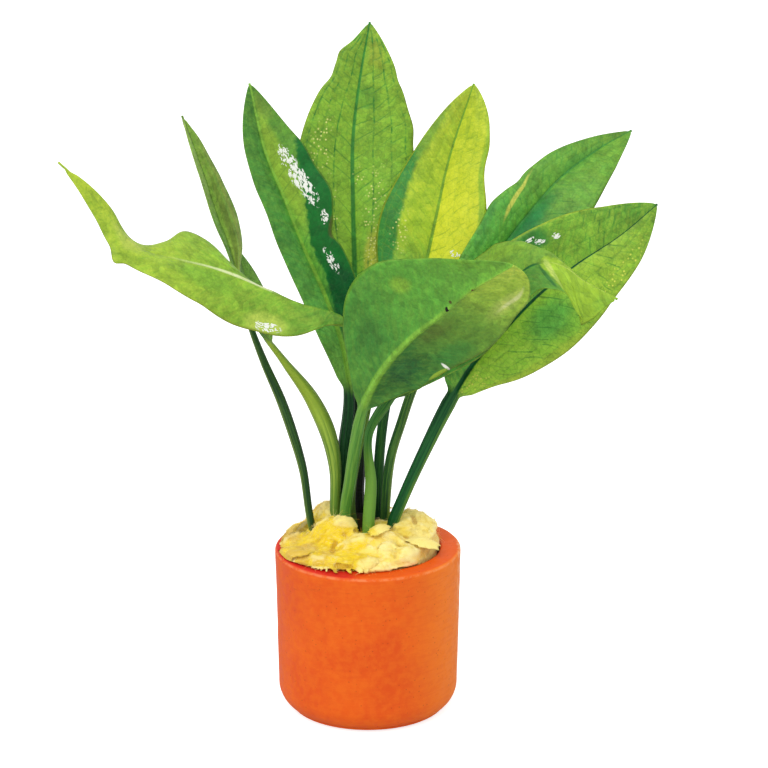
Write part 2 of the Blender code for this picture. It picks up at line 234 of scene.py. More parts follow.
def buildPot():
    deselectAll()
    outer, inner = pot["radius"], pot["radius"] - pot["wall"]
    height, floor = pot["height"], pot["floor"]
    bpy.ops.mesh.primitive_cylinder_add(vertices=pot["sides"], radius=outer * mm, depth=height * mm,
                                        location=(0, 0, height / 2 * mm), end_fill_type="NGON")
    obj = bpy.context.active_object
    bpy.ops.object.transform_apply(location=True, rotation=True, scale=True)
    bpy.ops.object.mode_set(mode="EDIT")
    bpy.ops.mesh.select_mode(type="FACE")
    bpy.ops.mesh.select_all(action="DESELECT")
    shape = bmesh.from_edit_mesh(obj.data)
    for face in shape.faces:
        face.select_set(face.normal.z > 0.9)
    bmesh.update_edit_mesh(obj.data)
    bpy.ops.mesh.inset(thickness=pot["wall"] * mm)                      # wide flat rim
    bpy.ops.mesh.extrude_region_move(TRANSFORM_OT_translate={"value": (0, 0, (floor - height) * mm)})
    for radius, level, corner, segments in (
            (outer, 0, pot["footCorner"], 12), (outer, height, pot["rimOuter"], 5),
            (inner, height, pot["rimInner"], 4), (inner, floor, pot["innerCorner"], 6)):
        selectEdges(obj.data, onCircle(radius, level))
        bpy.ops.mesh.bevel(offset=corner * mm, segments=segments, affect="EDGES")
    for cuts in (7, 4):                                                  # rows of points on both walls
        selectEdges(obj.data, lambda e: abs(e.verts[0].co.z - e.verts[1].co.z) > 3 * mm)
        bpy.ops.mesh.subdivide(number_cuts=cuts)
    for radius in (outer - pot["footCorner"], inner - pot["innerCorner"]):  # rings towards both middles
        bpy.ops.mesh.select_mode(type="FACE")
        bpy.ops.mesh.select_all(action="DESELECT")
        shape = bmesh.from_edit_mesh(obj.data)
        for face in shape.faces:
            face.select_set(len(face.verts) > 100 and abs(face.verts[0].co.xy.length - radius * mm) < 0.5 * mm)
        bmesh.update_edit_mesh(obj.data)
        bpy.ops.mesh.inset(thickness=radius * 0.5 * mm)
        bpy.ops.mesh.inset(thickness=radius * 0.3 * mm)
    bpy.ops.object.mode_set(mode="OBJECT")
    for vert in obj.data.vertices:
        x, y, z = vert.co / mm
        radius, angle = math.hypot(x, y), math.atan2(y, x)
        if radius > inner + 2 and z < height - pot["rimOuter"]:          # the pot narrows to its foot
            drop = min(1.0, 1 - (z - pot["footCorner"]) / (height - pot["footCorner"]))
            radius -= (outer - pot["footRadius"]) * drop
        wave = noise.noise(Vector((x, y, z)) * 0.05) + 0.4 * noise.noise(Vector((x, y, z)) * 0.22)
        if radius > 3 and z > 0.6:
            radius += pot["unevenness"] * wave * min(1.0, z / 6)
        if z > height - 0.2:
            z += 0.10 * noise.noise(Vector((x, y, 3)) * 0.14) - 0.06
        for turn, level, size, depth in pot["dents"]:
            turn = math.radians(turn)
            away = Vector((math.cos(turn) * outer - x, math.sin(turn) * outer - y, level - z)).length
            radius -= depth * math.exp(-(away / size) ** 2)
        vert.co = Vector((radius * math.cos(angle), radius * math.sin(angle), z)) * mm
    selectOnly(obj)
    bpy.ops.object.shade_smooth_by_angle(angle=math.radians(50))
    return obj


def buildClay():
    material, tree, shader = newMaterial("firedClay")
    place = placeInMm(tree)
    x, y, z = splitVector(tree, place)
    marks = useGroup(tree, blotches, {"Place": place, "Broad Size": 16.0, "Fine Size": 2.2})
    radius = addNode(tree, "VectorMath", {0: joinVector(tree, x, y, 0.0)}, operation="LENGTH").outputs["Value"]
    colour = mixColour(tree, calc(tree, "MULTIPLY", marks["Broad"], 0.6),
                       screenColour(*pot["orange"]), screenColour(*pot["red"]))
    # lighter towards +X: painted light on the lit side of the pot
    colour = mixColour(tree, calc(tree, "MULTIPLY", ease(tree, x, 8.0, 27.0), 0.7), colour,
                       screenColour(*pot["sunny"]))
    colour = mixColour(tree, calc(tree, "MULTIPLY", marks["Fine"], 0.3), colour, screenColour(*pot["light"]))
    brushed = addNoise(tree, vectorCalc(tree, "MULTIPLY", place, (0.25, 0.25, 1.4)), 0.8, 5.0, 0.7, 0.4)
    colour = mixColour(tree, calc(tree, "MULTIPLY", ease(tree, brushed, 0.52, 0.4), 0.18), colour,
                       screenColour(*pot["red"]))
    topFace = calc(tree, "MULTIPLY", ease(tree, z, 48.3, 48.7), ease(tree, radius, 26.6, 26.0))
    colour = mixColour(tree, calc(tree, "MULTIPLY", topFace, 0.8), colour, screenColour(*pot["rim"]))
    specks = addNode(tree, "TexVoronoi", {"Vector": place, "Scale": 0.55}).outputs["Distance"]
    colour = mixColour(tree, calc(tree, "MULTIPLY", ease(tree, specks, 0.16, 0.05), 0.45), colour,
                       screenColour(*pot["dark"]))
    # redder and darker inside the cup; the darkening is painted shade in the recess
    inside = ease(tree, radius, pot["radius"] - pot["wall"] + 0.9, pot["radius"] - pot["wall"] - 0.2)
    colour = mixColour(tree, inside, colour, screenColour(*pot["inside"]))
    # redder and darker on the rim top towards -X, beside the wool
    damp = calc(tree, "MULTIPLY", ease(tree, calc(tree, "MULTIPLY_ADD", marks["Fine"], 3.0, x), 2.0, -6.0),
                calc(tree, "MULTIPLY", ease(tree, radius, 27.2, 26.2), ease(tree, z, 47.0, 48.0)))
    colour = mixColour(tree, damp, colour, screenColour(*pot["damp"]))
    # faint scratches round the wall just under the rim
    stretched = joinVector(tree, calc(tree, "ARCTAN2", y, x), calc(tree, "MULTIPLY", z, 0.9), 0.0)
    scratch = ease(tree, addNoise(tree, stretched, 3.0, 5.0, 0.7), 0.60, 0.68)
    nearRim = ease(tree, calc(tree, "ABSOLUTE", calc(tree, "SUBTRACT", z, 43.5)), 4.0, 1.0)
    scratch = calc(tree, "MULTIPLY", scratch, nearRim)
    colour = mixColour(tree, calc(tree, "MULTIPLY", scratch, 0.5), colour, screenColour(*pot["dark"]))
    # pale wear, partly painted highlight, on the rim's outer edge and down the side at +X
    edgeHeight = ease(tree, calc(tree, "ABSOLUTE", calc(tree, "SUBTRACT", z, pot["height"] - 0.7)), 0.5, 0.1)
    edgeRadius = ease(tree, radius, pot["radius"] - 1.6, pot["radius"] - 0.5)
    rubbedAndSheen = calc(tree, "MULTIPLY", edgeHeight, edgeRadius)
    flaky = addNoise(tree, place, 0.55, 5.0, 0.65)
    rubbedAndSheen = calc(tree, "MULTIPLY", rubbedAndSheen, ease(tree, flaky, 0.36, 0.6))
    sideWearAndSheen = calc(tree, "MULTIPLY", ease(tree, x, pot["radius"] - 1.6, pot["radius"] - 0.2),
                    ease(tree, flaky, 0.47, 0.56))
    wearAndSheen = calc(tree, "MAXIMUM", calc(tree, "MULTIPLY", rubbedAndSheen, 0.3), sideWearAndSheen)
    colour = mixColour(tree, wearAndSheen, colour, screenColour(*pot["worn"]))
    tree.links.new(colour, shader.inputs["Base Color"])
    tree.links.new(calc(tree, "MULTIPLY_ADD", marks["Fine"], 0.12, 0.5), shader.inputs["Roughness"])
    grain = calc(tree, "ADD", marks["Grain"], calc(tree, "MULTIPLY", marks["Fine"], 0.6))
    grain = calc(tree, "SUBTRACT", grain, calc(tree, "MULTIPLY", scratch, 0.6))
    bump = addNode(tree, "Bump", {"Height": grain, "Strength": 0.25, "Distance": 0.15 * mm})
    tree.links.new(bump.outputs[0], shader.inputs["Normal"])
    shader.inputs["Specular IOR Level"].default_value = 0.2
    return material


finishPiece(buildPot(), "clayPot", buildClay(), "pot")


# Wool

wool = {
    "segments": 224, "rings": 120,
    "insideRadius": 20.65, "bottom": 6.35, "corner": 3.0,
    "lipMiddle": 22.4, "lipLean": 2.9, "lipWave": 0.6, "lipLeft": 1.1, "edge": 1.2, "lipSag": 1.1,
    # lumps and the hollow between the stalks: x, y, spread, height
    "lumps": [(0, 3, 15, 5.5), (-12, 9, 6, 4.2), (-8, -1, 4.5, 2.2), (15, 4, 5.5, 3.4), (5, -13, 6, 1.2), (-13, -3, 4.5, 3.0),
              (-2.8, 1.5, 3.6, -10), (3, -10, 4, 1.5)],
    # torn sheets lying on the mound: x, y, length, width, thickness, heading, lift
    "flakes": [(-16, -12, 17, 9, 2.6, -48, 0.0), (-4, -17, 18, 9, 2.8, -6, 0.1), (9, -15, 14, 9, 3.4, 28, 0.3),
               (15.5, -5, 14, 9, 3.8, 75, 0.5), (14, 7, 14, 9, 3.6, 115, 0.5), (2, 14, 16, 9, 3.2, 178, 0.2),
               (-12, 13, 14, 9, 3.4, 215, 0.2), (-20, 2, 15, 8, 2.6, 265, 0.1), (-10, -5, 13, 8, 3.6, 155, 0.6),
               (-3, -11, 13, 6, 3.0, 8, 0.5), (7, -8, 12, 8, 3.4, 45, 0.5), (10, 1, 10, 7, 3.6, 95, 0.4),
               (-13, 5, 9, 7, 3.4, 60, 0.4), (-6.5, -4.2, 7.5, 4.5, 4.0, 15, 1.8)],
    # torn points that hang over the rim: first and last angle, how many, how far they may reach
    "points": (170, 268, 34, 26.4),
    "voxel": 0.4,
    "left": (220, 182, 70), "yellow": (240, 210, 42), "cream": (250, 230, 134), "strong": (238, 196, 18),
    "creaseShade": (176, 122, 40), "pale": (253, 240, 176), "dark": (26, 18, 6),
    # painted shade in dark hollows: x, y, half sizes, how dark
    "paintedShades": [(-2.4, 4.5, 4.8, 8.5, 0.98), (2, 9, 5, 6, 0.95), (-19.5, 3, 3.5, 4, 0.55)],
    "tufts": 9,
}


def woolHeight(x, y):
    height = pot["height"] + wool["edge"]
    for lumpX, lumpY, spread, rise in wool["lumps"]:
        height += rise * math.exp(-((x - lumpX) ** 2 + (y - lumpY) ** 2) / spread**2)
    return height


def woolLip(angle):
    towardsLeft = max(0.0, math.cos(angle - math.radians(200))) ** 3
    return (wool["lipMiddle"] - wool["lipLean"] * math.cos(angle)
            + wool["lipWave"] * math.sin(5 * angle + 1) + wool["lipLeft"] * towardsLeft)


# A plug that fills the pot, drawn from a ball: upper half to the mound, lower half into the cup
def buildWoolPlug():
    deselectAll()
    bpy.ops.mesh.primitive_uv_sphere_add(segments=wool["segments"], ring_count=wool["rings"], radius=1)
    obj = bpy.context.active_object
    inside, bottom, corner = wool["insideRadius"], wool["bottom"], wool["corner"]
    top = pot["height"]
    for vert in obj.data.vertices:
        x, y, z = vert.co
        angle = math.atan2(y, x)
        fall = math.acos(max(-1.0, min(1.0, z))) / (math.pi / 2)        # 0 at the top, 1 at the lip, 2 below
        lip = woolLip(angle)
        if fall <= 1:
            radius = lip * fall
            px, py = radius * math.cos(angle), radius * math.sin(angle)
            roundOff = max(0.0, fall - 0.85) / 0.15
            height = woolHeight(px, py)
            height = height + (top + 0.6 - height) * roundOff**2
        else:
            down = fall - 1
            radius = min(inside, lip)
            if down < 0.06:
                radius = lip + (radius - lip) * down / 0.06
                height = top + 0.5
            elif down < 0.8:
                height = top + 0.5 + (bottom + corner - top - 0.5) * (down - 0.06) / 0.74
            else:
                radius *= math.cos((down - 0.8) / 0.2 * math.pi / 2)
                height = bottom + corner * (1 - math.sin((down - 0.8) / 0.2 * math.pi / 2))
        vert.co = Vector((radius * math.cos(angle), radius * math.sin(angle), height)) * mm
    return obj


def buildFlake(index, x, y, length, width, thickness, heading, lift):
    deselectAll()
    bpy.ops.mesh.primitive_ico_sphere_add(subdivisions=5, radius=1)
    obj = bpy.context.active_object
    turn = math.radians(heading)
    seed = Vector((index * 7.3, index * 3.1, 0))
    for vert in obj.data.vertices:
        along, across, up = vert.co
        ragged = 1 + 0.30 * noise.noise(vert.co * 1.8 + seed) + 0.22 * noise.noise(vert.co * 5.0 + seed)
        along, across = along * length / 2 * ragged, across * width / 2 * ragged
        up = up * thickness / 2 * (1 + 0.4 * noise.noise(vert.co * 3 + seed))
        px = x + along * math.cos(turn) - across * math.sin(turn)
        py = y + along * math.sin(turn) + across * math.cos(turn)
        reach = math.hypot(px, py)
        over = max(0.0, reach - woolLip(math.atan2(py, px)) + 0.5)
        if over > 0:                                                     # tuck back what would leave the lip
            px, py = px * (reach - 0.75 * over) / reach, py * (reach - 0.75 * over) / reach
        ground = woolHeight(px, py) - wool["lipSag"] * min(1.0, over)
        vert.co = Vector((px, py, max(pot["height"] + 0.35, ground + up + lift))) * mm
    return obj


# A thin torn point lying outwards on the rim
def buildPoint(angle, reach, length, width):
    deselectAll()
    bpy.ops.mesh.primitive_ico_sphere_add(subdivisions=4, radius=1)
    obj = bpy.context.active_object
    for vert in obj.data.vertices:
        out, across, up = vert.co
        narrow = 0.12 + 0.88 * (0.5 - 0.5 * out) ** 0.8                 # broad at its root, sharp at its tip
        radius = reach - length * (0.5 - 0.5 * out)
        side = across * width / 2 * narrow
        turn = angle + side / radius + 0.02 * math.sin(out * 3)
        rest = pot["height"] + 0.5 + 0.45 * narrow - 0.35 * max(0.0, radius - 25.4)
        vert.co = Vector((radius * math.cos(turn), radius * math.sin(turn), rest + up * 0.55 * narrow)) * mm
    return obj


def buildWool():
    parts = [buildWoolPlug()]
    for index, flake in enumerate(wool["flakes"]):
        parts.append(buildFlake(index, *flake))
    draw = random.Random(5)
    first, last, count, farthest = wool["points"]
    for index in range(count):
        angle = math.radians(first + (last - first) * (index + draw.uniform(-0.4, 0.4)) / (count - 1))
        reach = woolLip(angle) + draw.uniform(1.2, 3.4)
        parts.append(buildPoint(angle, min(farthest, reach), draw.uniform(3.0, 5.0), draw.uniform(1.4, 3.0)))
    deselectAll()
    for part in parts:
        part.select_set(True)
    bpy.context.view_layer.objects.active = parts[0]
    bpy.ops.object.join()
    obj = bpy.context.active_object
    skin = obj.modifiers.new("oneSkin", "REMESH")                        # melts plug and flakes into one body
    skin.mode = "VOXEL"
    skin.voxel_size = wool["voxel"] * mm
    bpy.ops.object.modifier_apply(modifier="oneSkin")
    tease(obj)
    return obj


# Pulls the skin into soft torn folds and notes how deep each point lies
def tease(obj):
    mesh = obj.data
    normals = [v.normal.copy() for v in mesh.vertices]
    top = pot["height"]
    for vert, normal in zip(mesh.vertices, normals):
        place = vert.co / mm
        if place.z < top - 4:
            continue
        free = min(1.0, (place.z - top + 4) / 4)
        warp = noise.noise_vector(place * 0.12) * 3.0
        lump = abs(noise.noise((place + warp) * 0.12)) * 2.2 + abs(noise.noise((place + warp) * 0.3)) * 0.35
        crest = max(0.0, 1 - 6 * abs(noise.noise((place + warp * 1.6) * 0.15 + Vector((9, 4, 2)))))
        push = (lump - 0.6 + 0.25 * crest) * free
        moved = place + normal * push
        reach = moved.xy.length
        if moved.z < top + 0.3 and reach > wool["insideRadius"]:
            moved.z = top + 0.3
        vert.co = moved * mm
    shape = bmesh.new()
    shape.from_mesh(mesh)
    shape.normal_update()
    depth = [0.0] * len(shape.verts)
    for vert in shape.verts:
        near = [e.other_vert(vert).co for e in vert.link_edges]
        middle = sum(near, Vector()) / len(near)
        depth[vert.index] = (middle - vert.co).dot(vert.normal) / mm
    for _ in range(12):                                                  # spreads the hollows a little
        depth = [0.4 * depth[v.index] + 0.6 * sum(depth[e.other_vert(v).index] for e in v.link_edges)
                 / len(v.link_edges) for v in shape.verts]
    shape.free()
    setAttribute(mesh, "woolHollow", [(d * 60, 0.0, 0.0) for d in depth])
    selectOnly(obj)
    bpy.ops.object.shade_smooth()


# Thin torn tufts lying on the mound, more of them over the rim at the front left
def buildTufts(ground):
    draw = random.Random(23)
    parts = []
    for index in range(wool["tufts"]):
        angle = math.radians(draw.uniform(150, 285) if index % 2 else draw.uniform(0, 360))
        reach = woolLip(angle) * draw.uniform(0.82, 1.0) if index % 2 else draw.uniform(6, 19)
        x, y = reach * math.cos(angle), reach * math.sin(angle)
        found, spot, up, _ = ground.ray_cast(Vector((x, y, 90)) * mm, Vector((0, 0, -1)))
        if not found:
            continue
        up = (up + Vector((0, 0, 0.6))).normalized()
        ahead = Vector((math.cos(angle), math.sin(angle), 0))
        ahead.rotate(Matrix.Rotation(draw.uniform(-0.9, 0.9), 3, "Z"))
        ahead = (ahead - up * ahead.dot(up)).normalized()
        side = up.cross(ahead)
        deselectAll()
        bpy.ops.mesh.primitive_ico_sphere_add(subdivisions=4, radius=1)
        obj = bpy.context.active_object
        length, width = draw.uniform(10.0, 15.0), draw.uniform(6.0, 9.0)
        seed = Vector((index * 5.1, index * 2.3, 1))
        for vert in obj.data.vertices:
            a, b, c = vert.co
            rim = math.hypot(a, b)
            edge = Vector((a, b, 0)) / max(rim, 0.01)
            torn = 1 + rim**3 * (0.35 * noise.noise(edge * 1.7 + seed) + 0.2 * noise.noise(edge * 6 + seed))
            px, py = a * length / 2 * torn, b * width / 2 * torn
            curl = -0.02 * (px**2 + py**2) + 0.7 * noise.noise(Vector((px, py, 0)) * 0.22 + seed)
            thick = 1.0 * c * (1 - 0.85 * rim**2)
            place = spot / mm + ahead * px + side * py + up * (thick + curl + 0.1)
            if place.xy.length > wool["insideRadius"]:
                place.z = max(place.z, pot["height"] + 0.25)
            far = place.xy.length
            if far > 26.4:
                place.xy *= 26.4 / far
            vert.co = place * mm
        parts.append(obj)
    deselectAll()
    for part in parts:
        part.select_set(True)
    bpy.context.view_layer.objects.active = parts[0]
    bpy.ops.object.join()
    bpy.ops.object.shade_smooth()
    return bpy.context.active_object


def buildFibres(ground):
    fibres = {"count": 2600, "length": (1.6, 5.0), "thick": 0.04, "steps": 6, "curl": 0.55}
    draw = random.Random(11)
    mesh = ground.data
    pitX, pitY, pitWide, pitLong, _ = wool["paintedShades"][0]
    faces = [f for f in mesh.polygons if f.center.z > (pot["height"] + 0.2) * mm and f.normal.z > -0.3
             and math.hypot((f.center.x / mm - pitX) / pitWide, (f.center.y / mm - pitY) / pitLong) > 1.3]
    faces.sort(key=lambda f: tuple(f.center))
    shape = bmesh.new()
    for _ in range(fibres["count"]):
        face = faces[draw.randrange(len(faces))]
        place, up = face.center / mm, face.normal
        turn = draw.uniform(0, 2 * math.pi)
        ahead = Vector((math.cos(turn), math.sin(turn), 0))
        ahead = (ahead - up * ahead.dot(up)).normalized()
        length = draw.uniform(*fibres["length"])
        if (place + ahead * length).xy.length > 25.8:
            continue
        step = length / fibres["steps"]
        lift = draw.uniform(0.0, 0.3)
        bend = draw.uniform(-fibres["curl"], fibres["curl"])
        thick = fibres["thick"] * draw.uniform(0.6, 1.5)
        rings = []
        for k in range(fibres["steps"] + 1):
            side = ahead.cross(up).normalized()
            share = k / fibres["steps"]
            size = thick * (1 - 0.8 * share)
            rings.append([shape.verts.new((place + side * size * math.cos(a) + up * size * math.sin(a)) * mm)
                          for a in (0.5, 2.6, 4.7)])
            ahead = (ahead + side * bend * 0.6 + up * (lift - 0.5 * share) * 0.5).normalized()
            place = place + ahead * step
        for here, there in zip(rings, rings[1:]):
            for k in range(3):
                shape.faces.new((here[k], here[(k + 1) % 3], there[(k + 1) % 3], there[k]))
        shape.faces.new(reversed(rings[0]))
        shape.faces.new(rings[-1])
    bmesh.ops.recalc_face_normals(shape, faces=shape.faces)
    made = bpy.data.meshes.new("woolFibres")
    shape.to_mesh(made)
    shape.free()
    made.shade_smooth()
    obj = bpy.data.objects.new("woolFibres", made)
    bpy.context.scene.collection.objects.link(obj)
    return obj


def buildWoolFinish():
    material, tree, shader = newMaterial("yellowWool")
    place = placeInMm(tree)
    marks = useGroup(tree, blotches, {"Place": place, "Broad Size": 8.0, "Fine Size": 1.1})
    x = splitVector(tree, place)[0]
    # cloudy colour across the mound: duller towards -X, partly painted shade; yellow in the middle, cream towards +X
    cloudy = calc(tree, "MULTIPLY_ADD", calc(tree, "SUBTRACT", marks["Broad"], 0.5), 14.0, x)
    colour = mixColour(tree, ease(tree, cloudy, -24.0, -12.0), screenColour(*wool["left"]),
                       screenColour(*wool["yellow"]))
    colour = mixColour(tree, ease(tree, cloudy, -4.0, 14.0), colour, screenColour(*wool["cream"]))
    strands = addNode(tree, "TexNoise", {"Vector": vectorCalc(tree, "MULTIPLY", place, (0.5, 2.0, 2.0)),
                                         "Scale": 1.0, "Detail": 5.0, "Roughness": 0.65,
                                         "Distortion": 2.2}).outputs["Fac"]
    colour = mixColour(tree, calc(tree, "MULTIPLY", ease(tree, strands, 0.5, 0.7), 0.45), colour,
                       screenColour(*wool["pale"]))
    colour = mixColour(tree, calc(tree, "MULTIPLY", ease(tree, strands, 0.47, 0.3), 0.4), colour,
                       screenColour(*wool["strong"]))
    # dark creases along the strands: painted shade
    colour = mixColour(tree, calc(tree, "MULTIPLY", ease(tree, strands, 0.42, 0.28), 0.55), colour,
                       screenColour(*wool["creaseShade"]))
    hollow = splitVector(tree, addNode(tree, "Attribute", attribute_name="woolHollow").outputs["Vector"])[0]
    # painted highlight on the crests and painted shade in the hollows, read from the woolHollow depth
    colour = mixColour(tree, calc(tree, "MULTIPLY", ease(tree, hollow, -0.2, -1.2), 0.5), colour,
                       screenColour(*wool["pale"]))
    colour = mixColour(tree, calc(tree, "MULTIPLY", ease(tree, hollow, 0.5, 1.8), 0.6), colour,
                       screenColour(*wool["creaseShade"]))
    # painted shade in the hollows between and beside the stalks
    for shadeX, shadeY, sizeX, sizeY, strength in wool["paintedShades"]:
        away = vectorCalc(tree, "SUBTRACT", place, (shadeX, shadeY, 0))
        away = vectorCalc(tree, "MULTIPLY", away, (1 / sizeX, 1 / sizeY, 0))
        away = addNode(tree, "VectorMath", {0: away}, operation="LENGTH").outputs["Value"]
        away = calc(tree, "MULTIPLY_ADD", calc(tree, "SUBTRACT", marks["Fine"], 0.5), 0.3, away)
        pit = calc(tree, "MULTIPLY", ease(tree, away, 1.1, 0.6), strength)
        colour = mixColour(tree, pit, colour, screenColour(*wool["dark"]))
    tree.links.new(colour, shader.inputs["Base Color"])
    shader.inputs["Roughness"].default_value = 0.92
    shader.inputs["Sheen Weight"].default_value = 0.1
    shader.inputs["Specular IOR Level"].default_value = 0.1
    height = calc(tree, "ADD", strands, calc(tree, "MULTIPLY", marks["Fine"], 0.5))
    bump = addNode(tree, "Bump", {"Height": height, "Strength": 0.4, "Distance": 0.22 * mm})
    tree.links.new(bump.outputs[0], shader.inputs["Normal"])
    return material


def buildFibreFinish():
    material, tree, shader = newMaterial("woolFibre")
    place = placeInMm(tree)
    marks = useGroup(tree, blotches, {"Place": place, "Broad Size": 5.0, "Fine Size": 1.0})
    colour = mixColour(tree, marks["Broad"], screenColour(*wool["yellow"]), screenColour(*wool["pale"]))
    colour = mixColour(tree, calc(tree, "MULTIPLY", marks["Fine"], 0.35), colour, screenColour(*wool["strong"]))
    tree.links.new(colour, shader.inputs["Base Color"])
    shader.inputs["Roughness"].default_value = 0.8
    return material


woolPlug = buildWool()
woolFibres = buildFibres(woolPlug)
woolTufts = buildTufts(woolPlug)
woolFinish = buildWoolFinish()
finishPiece(woolPlug, "woolPlug", woolFinish, "wool_plug")
finishPiece(woolTufts, "woolTufts", woolFinish, None)
finishPiece(woolFibres, "woolFibres", buildFibreFinish(), None)


# Leaves

# One leaf blank is a closed tube of points; each leaf is a copy of it, moved point by point
leafMesh = {
    "around": 96, "rows": (13, 14), "stalkRows": 0.3, "ribCrowding": 1.35, "tipCrowding": 1.3,
    "halfThickness": 0.24, "ribSoft": 0.045, "tipRadius": 0.35, "stalkBlend": 1.6,
    "veins": (0.34, 0.64, 0.87), "rungSpacing": 5.0, "rungSlope": 0.8, "rungWander": 2.6,
    "veinDepth": 0.10, "puff": 0.16,
}
